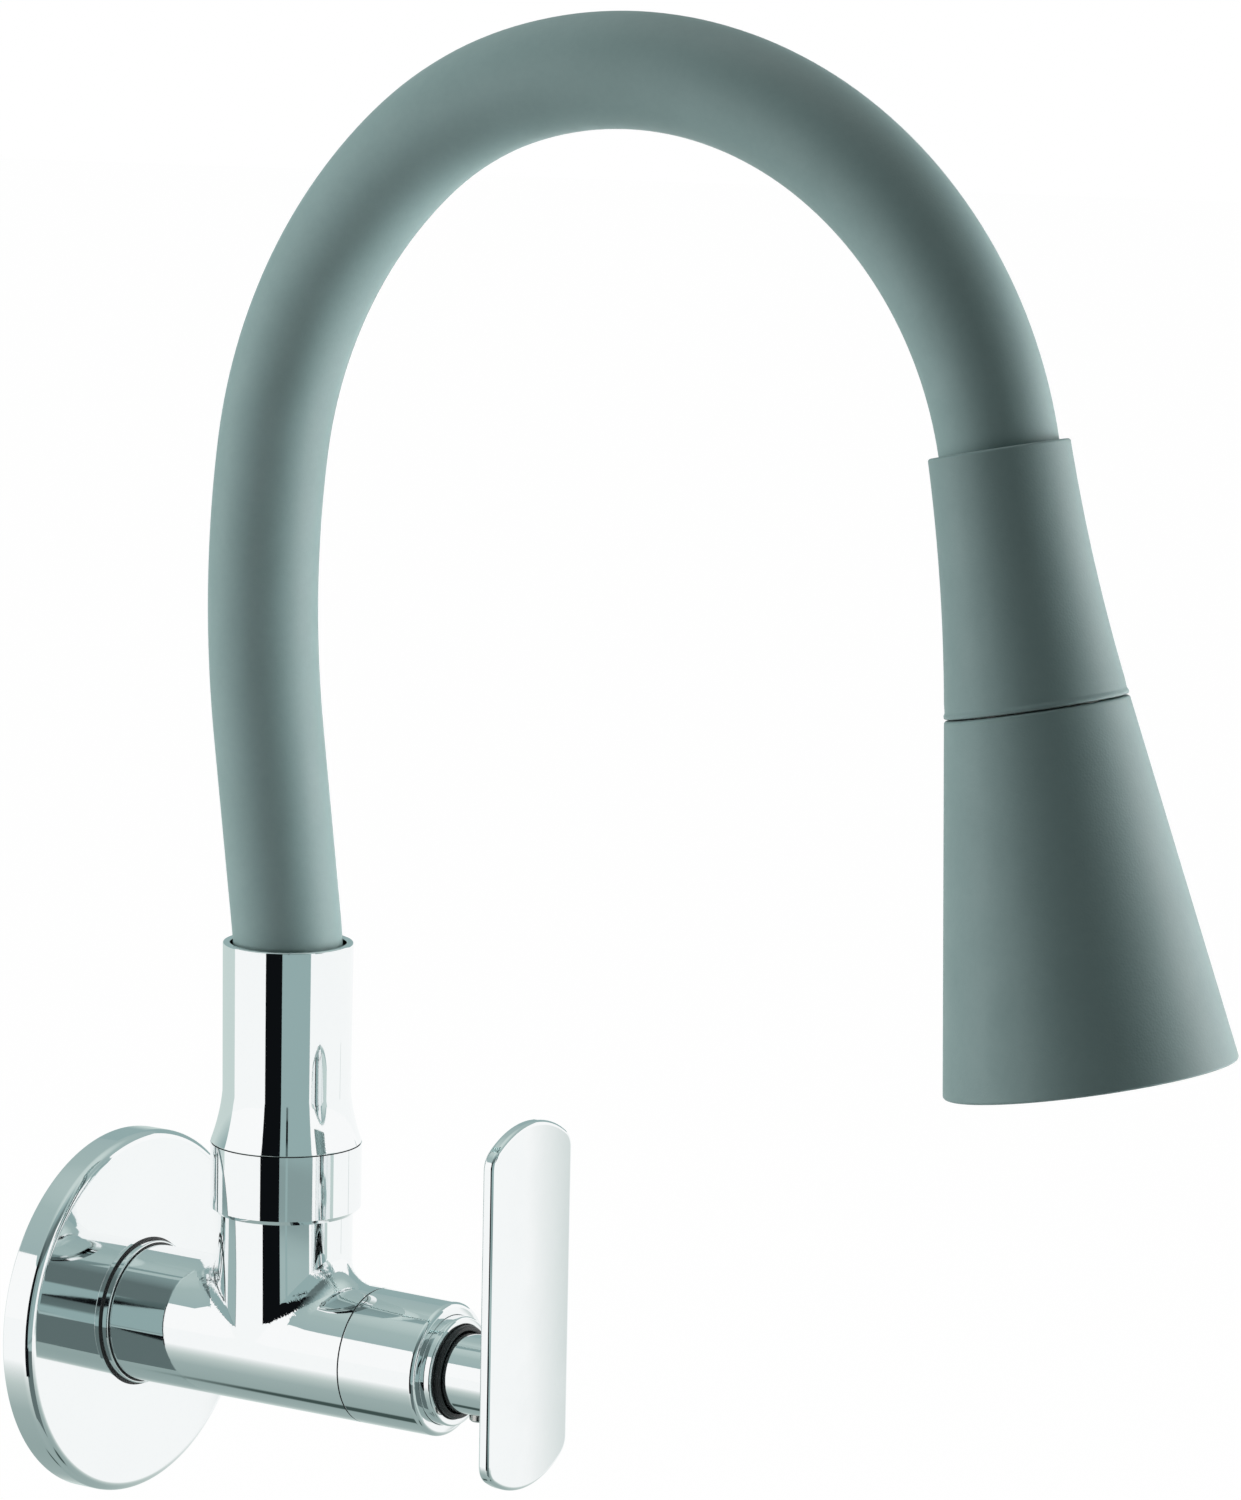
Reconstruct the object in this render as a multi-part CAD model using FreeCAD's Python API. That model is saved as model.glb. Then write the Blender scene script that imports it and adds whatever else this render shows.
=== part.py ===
"""Wall-mounted single-lever sink tap with a stay-put flexible spout and a twist spray head.

Frame, in millimetres: the origin is on the inlet axis at the wall, +Z is up, the barrel runs
out from the wall along -Y and +Y goes into the wall. The spout hangs in the plane X = 0.
Barrel profiles are (radius, distance from the wall), neck profiles are (radius, height above
the barrel's axis) and head profiles are (radius, distance down from the head's top edge).
"""
import FreeCAD, Part
import math
import os

from FreeCAD import Placement, Rotation, Vector

# clearances
RUNNING_FIT = 0.05
SLIP_FIT = 0.10
SEAM_GAP = 0.15
SOFT_GAP = 0.30
SEAT_GAP = 0.02

# wall flange
FLANGE_DIAMETER = 75.4
FLANGE_DEPTH = 7.1
FLANGE_WALL = 1.2
FLANGE_EDGE_ROUND = 2.0
FLANGE_LIP_HEIGHT = 1.7
FLANGE_LIP_WALL = 0.6
FLANGE_RING_SECTION = 2.0

# inlet
INLET_THREAD_DIAMETER = 20.955
INLET_BORE = 14.0
INLET_LENGTH = 14.0
INLET_ENGAGEMENT = 9.0
INLET_SHANK_DIAMETER = 20.4
INLET_END_CHAMFER = 1.0
INLET_WASHER_THICKNESS = 2.0

# barrel, a slight taper from the wall to the front; the neck stands on it
NECK_DISTANCE = 42.7
BODY_PAST_NECK = 22.6
COVER_LENGTH = 18.1
BODY_LENGTH = NECK_DISTANCE + BODY_PAST_NECK
BARREL_LENGTH = BODY_LENGTH + COVER_LENGTH
BARREL_REAR_DIAMETER = 28.5
BARREL_TAPER = 1.6
BARREL_FRONT_DIAMETER = BARREL_REAR_DIAMETER - BARREL_TAPER
CHAMBER_WALL = 3.25
CHAMBER_DIAMETER = BARREL_FRONT_DIAMETER - 2 * CHAMBER_WALL
VALVE_SEAT_BEFORE_NECK = 12.7
VALVE_SEAT_DEPTH = NECK_DISTANCE - VALVE_SEAT_BEFORE_NECK
VALVE_SEAT_WALL = 2.0
VALVE_SEAT_HOLE = 11.0
NECK_BLEND_RADIUS = 6.0

# neck and swivel, as heights above the barrel's axis
NECK_DIAMETER = 27.3
NECK_HEIGHT = 36.6
NECK_THREAD_LEDGE = 1.25
NECK_THREAD_LENGTH = 8.8
NECK_THREAD_DIAMETER = NECK_DIAMETER - 2 * NECK_THREAD_LEDGE
NECK_THREAD_START = NECK_HEIGHT - NECK_THREAD_LENGTH
NECK_SOCKET_WALL = 2.85
NECK_PORT = 17.0
SPIGOT_DIAMETER = NECK_THREAD_DIAMETER - 2 * NECK_SOCKET_WALL - 2 * RUNNING_FIT
SPIGOT_LENGTH_IN_NECK = 21.6
SPIGOT_BOTTOM = NECK_HEIGHT - SPIGOT_LENGTH_IN_NECK
SPIGOT_SHOULDER_LEDGE = 2.5
SPIGOT_SHOULDER_DIAMETER = SPIGOT_DIAMETER + 2 * SPIGOT_SHOULDER_LEDGE
SPIGOT_SHOULDER = 2.1
SPIGOT_RING_SECTION = 2.0
SPIGOT_RING_RISES = (5.5, 13.5)
SWIVEL_WASHER_THICKNESS = 0.8
NUT_OVERHANG = 1.65
NUT_DIAMETER = NECK_DIAMETER + 2 * NUT_OVERHANG
NUT_SKIRT = 0.8
NUT_BOTTOM = NECK_THREAD_START - NUT_SKIRT
NUT_HEIGHT = 14.0
NUT_TOP = NUT_BOTTOM + NUT_HEIGHT
NUT_EDGE_CHAMFER = 0.9

# flexible hose, from the outside in
SLEEVE_DIAMETER = 22.0
SLEEVE_WALL = 2.4
LAYER_GAP = 0.2
GOOSENECK_WALL = 1.4
TUBE_WALL = 1.6
SLEEVE_BORE = SLEEVE_DIAMETER - 2 * SLEEVE_WALL
GOOSENECK_DIAMETER = SLEEVE_BORE - 2 * LAYER_GAP
GOOSENECK_BORE = GOOSENECK_DIAMETER - 2 * GOOSENECK_WALL
TUBE_DIAMETER = GOOSENECK_BORE - 2 * LAYER_GAP
TUBE_BORE = TUBE_DIAMETER - 2 * TUBE_WALL
NIPPLE_WALL = 1.35
NIPPLE_DIAMETER = TUBE_BORE - 2 * RUNNING_FIT
NIPPLE_BORE = NIPPLE_DIAMETER - 2 * NIPPLE_WALL
FERRULE_DIAMETER = SLEEVE_DIAMETER - 2 * LAYER_GAP
FERRULE_LENGTH = 11.5
FERRULE_FLOOR = 1.5

# hose collar
COLLAR_FLOOR = 8.85
COLLAR_LENGTH = 40.95
COLLAR_SLACK = 0.7
COLLAR_WALL = 1.25
COLLAR_MOUTH_FLARE = 0.2
COLLAR_FLARE_HEIGHT = 10.35
COLLAR_FLARE_BELLY = 0.65
COLLAR_THREAD_LEDGE = 0.4
SLEEVE_DEPTH_IN_COLLAR = 20.1
COLLAR_BOTTOM = NUT_TOP + SEAM_GAP
COLLAR_TOP = COLLAR_BOTTOM + COLLAR_LENGTH
COLLAR_FLARE_TOP = COLLAR_BOTTOM + COLLAR_FLARE_HEIGHT
COLLAR_POCKET_DIAMETER = SLEEVE_DIAMETER + 2 * COLLAR_SLACK
COLLAR_SLEEVE_DIAMETER = COLLAR_POCKET_DIAMETER + 2 * COLLAR_WALL
COLLAR_MOUTH_DIAMETER = COLLAR_SLEEVE_DIAMETER + 2 * COLLAR_MOUTH_FLARE
COLLAR_THREAD_DIAMETER = SPIGOT_DIAMETER - 2 * COLLAR_THREAD_LEDGE
SPIGOT_TOP = COLLAR_BOTTOM + COLLAR_FLOOR
SLEEVE_ENTRY = COLLAR_TOP - SLEEVE_DEPTH_IN_COLLAR

# route of the hose in its plane; a positive angle turns it away from the wall
HOSE_FIRST_RUN = 28.0
HOSE_LEAN_ANGLE = -7.2
HOSE_LEAN_RADIUS = 60.0
HOSE_LEAN_RUN = 38.9
HOSE_BEND_ANGLES = (15.1, 41.8, 24.1, 94.85)
HOSE_BEND_RADII = (218.0, 94.0, 68.5, 82.5)

# flex joints of the hose, as distances along the route, and the balls that they turn on
FLEX_DISTANCES = (106.0, 216.0, 308.0)
FLEX_BALL_OVERSIZE = 2.0
FLEX_BALL_RADIUS = SLEEVE_DIAMETER / 2 + FLEX_BALL_OVERSIZE
FLEX_GAP = 0.3

# cartridge, behind the cover
NOSE_SLACK = 1.6
NOSE_DIAMETER = CHAMBER_DIAMETER - 2 * NOSE_SLACK
NOSE_INSET = 0.8
NOSE_START = VALVE_SEAT_DEPTH + NOSE_INSET
HOUSING_THREAD_LENGTH = 14.3
HOUSING_THREAD_START = BODY_LENGTH - HOUSING_THREAD_LENGTH
HOUSING_RING_SECTION = 1.5
HOUSING_RING_INSET = 2.4
HOUSING_RING_DEPTH = HOUSING_THREAD_START + HOUSING_RING_INSET
HOUSING_FLANGE_LENGTH = 5.0
DISC_POCKET_WALL = 1.4
DISC_POCKET_DIAMETER = NOSE_DIAMETER - 2 * DISC_POCKET_WALL
DISC_POCKET_LENGTH = 18.0
DISC_POCKET_END = VALVE_SEAT_DEPTH + DISC_POCKET_LENGTH
DISC_THICKNESS = 2.9
DISC_PORT_INNER_RADIUS = 2.0
DISC_PORT_OUTER_RADIUS = 6.0
DISC_PORT_ANGLE = 70.0
SEAT_SEAL_THICKNESS = 2.5
SEAT_SEAL_BORE = 9.2
WINDOW_WIDTH = 7.0
WINDOW_INSET = 11.0
WINDOW_LENGTH = 6.0
SPINDLE_FOOT_DIAMETER = 13.6
SPINDLE_FOOT_LENGTH = 2.0
SPINDLE_WAIST_DIAMETER = 8.0
SPINDLE_DIAMETER = 10.8
SPINDLE_RING_SECTION = 1.4
SPINDLE_RING_INSETS = (10.0, 15.0)
CLIP_THICKNESS = 0.8
CLIP_DIAMETER = 13.4
CLIP_GROOVE_DEPTH = 0.6
CLIP_OPENING = 6.0

# cartridge cover, its nose ring and the black bush
COVER_WALL = 1.25
COVER_BORE = BARREL_FRONT_DIAMETER - 2 * COVER_WALL
COVER_FRONT_WALL = 2.8
COVER_EDGE_CHAMFER = 1.1
COVER_LEDGE = 2.45
NOSE_RING_DIAMETER = BARREL_FRONT_DIAMETER - 2 * COVER_LEDGE
NOSE_RING_WALL = 1.6
NOSE_RING_BORE = NOSE_RING_DIAMETER - 2 * NOSE_RING_WALL
NOSE_RING_FOOT = 2.5
NOSE_RING_PROUD = 2.4
NOSE_RING_END = BARREL_LENGTH + NOSE_RING_PROUD
BUSH_FLOOR_INSET = 1.4
BUSH_FLOOR = 2.5
BUSH_PROUD = 3.4
BUSH_FLOOR_START = BARREL_LENGTH - BUSH_FLOOR_INSET
BUSH_FLOOR_END = BUSH_FLOOR_START + BUSH_FLOOR
BUSH_END = BARREL_LENGTH + BUSH_PROUD
HOUSING_FLANGE_SLACK = 0.4
HOUSING_FLANGE_DIAMETER = COVER_BORE - 2 * HOUSING_FLANGE_SLACK
HOUSING_HEAD_DIAMETER = NOSE_RING_BORE - 2 * SLIP_FIT
HOUSING_END = BUSH_FLOOR_START - SLIP_FIT
CLIP_INSET = 1.6
CLIP_DEPTH = HOUSING_END - CLIP_INSET

# lever
HUB_WALL_IN_BUSH = 1.4
HUB_DIAMETER = NOSE_RING_BORE - 2 * HUB_WALL_IN_BUSH
LEVER_STANDOFF = 16.1
LEVER_BACK = BARREL_LENGTH + LEVER_STANDOFF
LEVER_THICKNESS = 2.7
LEVER_WIDTH = 28.7
LEVER_TOP = 53.0
LEVER_BOTTOM = -21.0
LEVER_END_RADIUS = 22.0
LEVER_CORNER_RADIUS = 4.5
LEVER_EDGE_ROUND = 0.9
SPINDLE_SPLINE_DIAMETER = 8.0
SPINDLE_SPLINE_TEETH = 20
SPINDLE_SPLINE_DEPTH = 0.5
SPINDLE_END_INSET = 3.5
SPINDLE_END = LEVER_BACK - SPINDLE_END_INSET
SET_SCREW_DIAMETER = 4.0
SET_SCREW_INSET = 9.0
SET_SCREW_DEPTH = LEVER_BACK - SET_SCREW_INSET
SET_SCREW_PROUD = 1.2
SET_SCREW_SOCKET = 2.0
SET_SCREW_SOCKET_DEPTH = 1.6

# spray head, upper shell
HEAD_MOUTH_SLACK = 0.5
HEAD_TOP_WALL = 1.5
HEAD_MOUTH_DIAMETER = SLEEVE_DIAMETER + 2 * HEAD_MOUTH_SLACK
HEAD_TOP_DIAMETER = HEAD_MOUTH_DIAMETER + 2 * HEAD_TOP_WALL
HEAD_JOINT_DIAMETER = 33.8
HEAD_UPPER_LENGTH = 47.1
HEAD_CURVE_SAG = 0.8
HEAD_WALL = 2.0
HEAD_MOUTH_DEPTH = 12.3
HEAD_GRIP_LENGTH = 11.7
HEAD_GRIP_END = HEAD_MOUTH_DEPTH + HEAD_GRIP_LENGTH
HEAD_LAND_WALL = 3.1
HEAD_LAND_LENGTH = 10.1
HEAD_LAND_DIAMETER = HEAD_JOINT_DIAMETER - 2 * HEAD_LAND_WALL
HEAD_LAND_START = HEAD_UPPER_LENGTH - HEAD_LAND_LENGTH
HEAD_EDGE_ROUND = 0.5

# spray head, parts that carry the cone
CONNECTOR_HEX = 17.0
CONNECTOR_HEX_LENGTH = 5.5
CONNECTOR_THREAD_DIAMETER = 14.0
CONNECTOR_THREAD_LENGTH = 8.0
CONNECTOR_HEX_START = HEAD_GRIP_END + SEAT_GAP
CONNECTOR_HEX_END = CONNECTOR_HEX_START + CONNECTOR_HEX_LENGTH
CONNECTOR_END = CONNECTOR_HEX_END + CONNECTOR_THREAD_LENGTH
CORE_DISC_INSET = 2.6
CORE_DISC_THICKNESS = 6.0
CORE_END = HEAD_UPPER_LENGTH - CORE_DISC_INSET
CORE_START = CORE_END - CORE_DISC_THICKNESS
CORE_HUB_RISE = 1.48
CORE_HUB_START = CONNECTOR_HEX_END + CORE_HUB_RISE
CORE_HUB_LEDGE = 3.3
CORE_HUB_DIAMETER = HEAD_LAND_DIAMETER - 2 * CORE_HUB_LEDGE
CORE_BOSS_DIAMETER = 11.0
CORE_BOSS_LENGTH = 12.5
CORE_BOSS_END = CORE_END + CORE_BOSS_LENGTH
CORE_PORT_DIAMETER = 4.0
CORE_CROSS_PORT = 2.0
CORE_RING_SECTION = 1.6
CORE_RING_RISE = 6.5
CORE_RING_DEPTH = CORE_END + CORE_RING_RISE

# spray head, turning cone
CONE_RIM_DIAMETER = 54.2
HEAD_LENGTH = 115.4
CONE_WALL = 2.0
CONE_LAND_WALL = 2.4
CONE_LAND_DIAMETER = HEAD_JOINT_DIAMETER - 2 * CONE_LAND_WALL
CONE_RIM_CHAMFER = 0.6
FEED_TUBE_DIAMETER = 4.6
FEED_TUBE_BORE = 3.2
FEED_TUBE_POCKET = 1.5
FEED_TUBE_INSET = 2.6
FEED_TUBE_RADIUS = CONE_LAND_DIAMETER / 2 - FEED_TUBE_INSET
ROTOR_RUNNING_GAP = 0.5
ROTOR_START = CORE_END + ROTOR_RUNNING_GAP
ROTOR_DISC_INSET = 0.9
ROTOR_DISC_THICKNESS = 5.0
ROTOR_DISC_START = HEAD_UPPER_LENGTH + ROTOR_DISC_INSET
ROTOR_DISC_END = ROTOR_DISC_START + ROTOR_DISC_THICKNESS
ROTOR_NECK_DIAMETER = 23.0
ROTOR_SKIRT_WALL = 1.5
ROTOR_SKIRT_LENGTH = 11.0
ROTOR_SKIRT_DIAMETER = 2 * FEED_TUBE_RADIUS - FEED_TUBE_DIAMETER - 2 * SLIP_FIT
ROTOR_SKIRT_BORE = ROTOR_SKIRT_DIAMETER - 2 * ROTOR_SKIRT_WALL
ROTOR_SKIRT_END = ROTOR_DISC_END + ROTOR_SKIRT_LENGTH
ROTOR_PORT_OFFSET = 2.5
ROTOR_PORT_RADIUS = FEED_TUBE_RADIUS - ROTOR_PORT_OFFSET
CORE_PORT_RADIUS = ROTOR_PORT_RADIUS - FEED_TUBE_BORE / 2
CONE_LAND_OVERLAP = 1.0
CONE_LAND_END = ROTOR_DISC_END + CONE_LAND_OVERLAP
PIVOT_SCREW_HEAD_SLACK = 1.0
PIVOT_SCREW_HEAD_DIAMETER = ROTOR_SKIRT_BORE - 2 * PIVOT_SCREW_HEAD_SLACK
PIVOT_SCREW_HEAD = 2.0
PIVOT_SCREW_DIAMETER = 4.0
PIVOT_SCREW_LENGTH = 8.0
PIVOT_SCREW_SLOT = 1.0

# spray head, water parts of the cone
SPRAY_FACE_RECESS = 2.8
SPRAY_FACE_THICKNESS = 2.4
SPRAY_FACE_START = HEAD_LENGTH - SPRAY_FACE_RECESS - SPRAY_FACE_THICKNESS
CONE_RIM_WALL = 2.9
SPRAY_FACE_DIAMETER = CONE_RIM_DIAMETER - 2 * CONE_RIM_WALL
CHAMBER_HEIGHT = 12.6
CHAMBER_LID_THICKNESS = 2.0
CHAMBER_LID_START = SPRAY_FACE_START - CHAMBER_HEIGHT
CHAMBER_SKIRT_INSET = 3.7
CHAMBER_SKIRT_DIAMETER = SPRAY_FACE_DIAMETER - 2 * CHAMBER_SKIRT_INSET
CHAMBER_SKIRT_WALL = 1.6
AERATOR_TUBE_WALL = 1.25
AERATOR_TUBE_DIAMETER = ROTOR_SKIRT_BORE - 2 * RUNNING_FIT
AERATOR_TUBE_BORE = AERATOR_TUBE_DIAMETER - 2 * AERATOR_TUBE_WALL
AERATOR_TUBE_OVERLAP = 3.5
AERATOR_TUBE_START = ROTOR_SKIRT_END - AERATOR_TUBE_OVERLAP
AERATOR_TUBE_ENTRY = 1.5
AERATOR_TUBE_END = CHAMBER_LID_START + AERATOR_TUBE_ENTRY
AERATOR_FLANGE = 1.3
AERATOR_DIAMETER = ROTOR_SKIRT_BORE + 2 * AERATOR_FLANGE
AERATOR_WALL = 1.6
AERATOR_BORE = AERATOR_DIAMETER - 2 * AERATOR_WALL
AERATOR_REACH = 3.0
AERATOR_SHELF_RISE = 2.6
AERATOR_END = SPRAY_FACE_START + AERATOR_REACH
AERATOR_SHELF = SPRAY_FACE_START - AERATOR_SHELF_RISE
SCREEN_THICKNESS = 0.8
SCREEN_HOLE = 1.2
SCREEN_PITCH = 2.2
NOZZLE_MAT_THICKNESS = 1.6
NOZZLE_RING_RADII = (12.0, 15.0, 17.9)
NOZZLE_PITCH = 4.6
NOZZLE_DIAMETER = 1.8
NOZZLE_TIP_DIAMETER = 1.3
NOZZLE_BORE = 0.8
NOZZLE_PROUD = 0.9

FULL_TURN = 360.0
QUARTER_TURN = 90.0
HEXAGON_SIDES = 6
Z_AXIS = Vector(0, 0, 1)
ORIGIN = Vector(0, 0, 0)


def barrel_radius(distance):
    """Outer radius of the tapered barrel at a distance from the wall."""
    share = distance / BARREL_LENGTH
    return BARREL_REAR_DIAMETER / 2 * (1 - share) + BARREL_FRONT_DIAMETER / 2 * share


def outline(start, *steps):
    """Close a profile: a step is (radius, along) for a line or (mid, end) points for an arc."""
    here = Vector(start[0], 0, start[1])
    first = here
    edges = []
    for step in steps:
        if isinstance(step[0], tuple):
            middle, end = (Vector(p[0], 0, p[1]) for p in step)
            edges.append(Part.Arc(here, middle, end).toShape())
        else:
            end = Vector(step[0], 0, step[1])
            edges.append(Part.LineSegment(here, end).toShape())
        here = end
    edges.append(Part.LineSegment(here, first).toShape())
    return Part.Face(Part.Wire(edges))


def turned(start, *steps):
    """Turn a profile once round the local Z axis."""
    return outline(start, *steps).revolve(ORIGIN, Z_AXIS, FULL_TURN)


def pipe(outer, inner, low, high):
    """A straight tube, or a plug where the inner diameter is zero."""
    body = Part.makeCylinder(outer / 2, high - low, Vector(0, 0, low))
    if inner > 0:
        body = body.cut(Part.makeCylinder(inner / 2, high - low, Vector(0, 0, low)))
    return body


def ring(centre_radius, section, height):
    """A round-section ring about the local Z axis."""
    return Part.makeTorus(centre_radius, section / 2, Vector(0, 0, height))


def hexagon(across_flats, low, high):
    """A hexagonal bar along the local Z axis."""
    side = 2 * math.pi / HEXAGON_SIDES
    radius = across_flats / 2 / math.cos(side / 2)
    corners = [Vector(radius * math.cos(side * k), radius * math.sin(side * k), low)
               for k in range(HEXAGON_SIDES + 1)]
    return Part.Face(Part.makePolygon(corners)).extrude(Vector(0, 0, high - low))


def on_barrel(shape):
    """Lay a shape made about Z along the barrel's axis, growing away from the wall."""
    shape = shape.copy()
    shape.Placement = Placement(ORIGIN, Rotation(Vector(1, 0, 0), QUARTER_TURN)).multiply(shape.Placement)
    return shape


def on_neck(shape):
    """Stand a shape made about Z on the neck's axis."""
    shape = shape.copy()
    shape.Placement = Placement(Vector(0, -NECK_DISTANCE, 0), Rotation()).multiply(shape.Placement)
    return shape


def on_head(shape):
    """Hang a shape made about Z on the spray head's axis, growing down from its top edge."""
    shape = shape.copy()
    end, heading = route_point(HOSE_LENGTH)
    turn = Rotation(Vector(1, 0, 0), heading)
    shape.Placement = Placement(end, turn).multiply(shape.Placement)
    return shape


def hose_steps():
    """The hose's centreline as (length, turn, radius) steps; a straight run has no radius."""
    lean = math.radians(abs(HOSE_LEAN_ANGLE)) * HOSE_LEAN_RADIUS
    steps = [(HOSE_FIRST_RUN, 0.0, None), (lean, HOSE_LEAN_ANGLE, HOSE_LEAN_RADIUS),
             (HOSE_LEAN_RUN, 0.0, None)]
    for turn, radius in zip(HOSE_BEND_ANGLES, HOSE_BEND_RADII):
        steps.append((math.radians(turn) * radius, turn, radius))
    return steps


HOSE_STEPS = hose_steps()
HOSE_LENGTH = sum(length for length, _, _ in HOSE_STEPS)
ROUTE_STEPS = HOSE_STEPS + [(HEAD_LENGTH, 0.0, None)]


def moved_along(point, heading, length, turn, radius):
    """The point and heading after a run or a part of a bend."""
    start = math.radians(heading)
    if radius is None:
        return point + Vector(0, -length * math.sin(start), length * math.cos(start)), heading
    side = math.copysign(1.0, turn)
    end = start + side * length / radius
    outwards = side * radius * (math.cos(start) - math.cos(end))
    upwards = side * radius * (math.sin(end) - math.sin(start))
    return point + Vector(0, -outwards, upwards), math.degrees(end)


def route_point(distance):
    """The point and heading at a distance along the hose and on down the head's axis."""
    point, heading = Vector(0, -NECK_DISTANCE, SPIGOT_TOP), 0.0
    left = distance
    for length, turn, radius in ROUTE_STEPS:
        if left > 0:
            point, heading = moved_along(point, heading, min(length, left), turn, radius)
        left -= length
    return point, heading


def route_wire(start, end):
    """The centreline between two distances, as straight runs and tangent arcs."""
    edges = []
    passed = 0.0
    for length, _, radius in ROUTE_STEPS:
        low, high = max(start, passed), min(end, passed + length)
        if low < high:
            first, middle, last = (route_point(d)[0] for d in (low, (low + high) / 2, high))
            curve = Part.LineSegment(first, last) if radius is None else Part.Arc(first, middle, last)
            edges.append(curve.toShape())
        passed += length
    return Part.Wire(edges)


def swept(diameter, start, end):
    """A solid rod along the centreline between two distances."""
    point, heading = route_point(start)
    direction = Vector(0, -math.sin(math.radians(heading)), math.cos(math.radians(heading)))
    section = Part.Wire(Part.Circle(point, direction, diameter / 2).toShape())
    return route_wire(start, end).makePipeShell([section], True, False)


def hose_layer(outer, inner, start, end):
    """One layer of the hose between two ends; an end is (distance, flex joint index or None)."""
    low, low_joint = start
    high, high_joint = end
    if high_joint is not None:
        high = high - FLEX_BALL_RADIUS / 2
    rod = swept(outer, low, high)
    if low_joint is not None:
        pivot = route_point(low)[0]
        foot = low - FLEX_BALL_RADIUS - FLEX_GAP
        stub = swept(outer, foot, low)
        rod = rod.fuse(stub.common(Part.makeSphere(FLEX_BALL_RADIUS, pivot))).removeSplitter()
        low = foot
    if high_joint is not None:
        pivot = route_point(end[0])[0]
        rod = rod.cut(Part.makeSphere(FLEX_BALL_RADIUS + FLEX_GAP, pivot))
    return rod.cut(swept(inner, low, high))


SLEEVE_END = HOSE_LENGTH + HEAD_MOUTH_DEPTH - SOFT_GAP
TOP_FERRULE_END = HOSE_LENGTH + HEAD_GRIP_END


def hose_segments():
    """The ends of the four hose segments for the sleeve and for the layers inside it."""
    joints = [(distance, index) for index, distance in enumerate(FLEX_DISTANCES)]
    sleeve = [(SLEEVE_ENTRY - SPIGOT_TOP, None)] + joints + [(SLEEVE_END, None)]
    inner = [(FERRULE_FLOOR + SEAT_GAP, None)] + joints
    inner.append((TOP_FERRULE_END - FERRULE_FLOOR - SEAT_GAP, None))
    return sleeve, inner


def wall_flange():
    radius = FLANGE_DIAMETER / 2
    hole = barrel_radius(FLANGE_DEPTH) + RUNNING_FIT
    edge = FLANGE_EDGE_ROUND
    slant = edge * (1 - math.sqrt(0.5))
    face_back = FLANGE_DEPTH - FLANGE_WALL
    lip_top = FLANGE_DEPTH + FLANGE_LIP_HEIGHT
    return on_barrel(turned(
        (radius - FLANGE_WALL, 0), (radius, 0), (radius, FLANGE_DEPTH - edge),
        ((radius - slant, FLANGE_DEPTH - slant), (radius - edge, FLANGE_DEPTH)),
        (hole + FLANGE_LIP_WALL, FLANGE_DEPTH), (hole + FLANGE_LIP_WALL, lip_top),
        (hole, lip_top), (hole, face_back), (radius - FLANGE_WALL, face_back)))


def flange_o_ring():
    depth = FLANGE_DEPTH - FLANGE_WALL - FLANGE_RING_SECTION / 2 - SEAT_GAP
    centre = barrel_radius(0) + FLANGE_RING_SECTION / 2
    return on_barrel(ring(centre, FLANGE_RING_SECTION, depth))


def inlet_nipple():
    radius, shank = INLET_THREAD_DIAMETER / 2, INLET_SHANK_DIAMETER / 2
    top = INLET_WASHER_THICKNESS + INLET_ENGAGEMENT
    chamfer = INLET_END_CHAMFER
    return on_barrel(turned(
        (INLET_BORE / 2, -INLET_LENGTH), (radius - chamfer, -INLET_LENGTH),
        (radius, chamfer - INLET_LENGTH), (radius, 0), (shank, 0), (shank, top), (INLET_BORE / 2, top)))


def inlet_washer():
    inner = INLET_THREAD_DIAMETER + 2 * SLIP_FIT
    outer = 2 * barrel_radius(0) - 2 * FLANGE_LIP_WALL
    return on_barrel(pipe(outer, inner, 0, INLET_WASHER_THICKNESS - SEAT_GAP))


def tap_body():
    """Cast tee: the barrel from the wall to the cover, and the neck with its swivel socket."""
    rear = INLET_WASHER_THICKNESS
    barrel = on_barrel(turned(
        (0, rear), (barrel_radius(rear), rear), (barrel_radius(BODY_LENGTH), BODY_LENGTH),
        (0, BODY_LENGTH)))
    step = NECK_THREAD_START
    neck = on_neck(turned(
        (0, 0), (NECK_DIAMETER / 2, 0), (NECK_DIAMETER / 2, step), (NECK_THREAD_DIAMETER / 2, step),
        (NECK_THREAD_DIAMETER / 2, NECK_HEIGHT), (0, NECK_HEIGHT)))
    tee = barrel.fuse(neck).removeSplitter()
    tee = tee.makeFillet(NECK_BLEND_RADIUS, meeting_edges(tee))
    counterbore = INLET_SHANK_DIAMETER + 2 * RUNNING_FIT
    thread_end = INLET_WASHER_THICKNESS + INLET_ENGAGEMENT + SEAT_GAP
    web = VALVE_SEAT_DEPTH - VALVE_SEAT_WALL
    bores = on_barrel(turned(
        (0, rear), (counterbore / 2, rear), (counterbore / 2, thread_end), (INLET_BORE / 2, thread_end),
        (INLET_BORE / 2, web), (VALVE_SEAT_HOLE / 2, web), (VALVE_SEAT_HOLE / 2, VALVE_SEAT_DEPTH),
        (CHAMBER_DIAMETER / 2, VALVE_SEAT_DEPTH), (CHAMBER_DIAMETER / 2, BODY_LENGTH), (0, BODY_LENGTH)))
    socket = SPIGOT_DIAMETER / 2 + RUNNING_FIT
    port = on_neck(turned(
        (0, 0), (NECK_PORT / 2, 0), (NECK_PORT / 2, SPIGOT_BOTTOM - SEAM_GAP),
        (socket, SPIGOT_BOTTOM - SEAM_GAP), (socket, NECK_HEIGHT), (0, NECK_HEIGHT)))
    return tee.cut(bores).cut(port)


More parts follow.
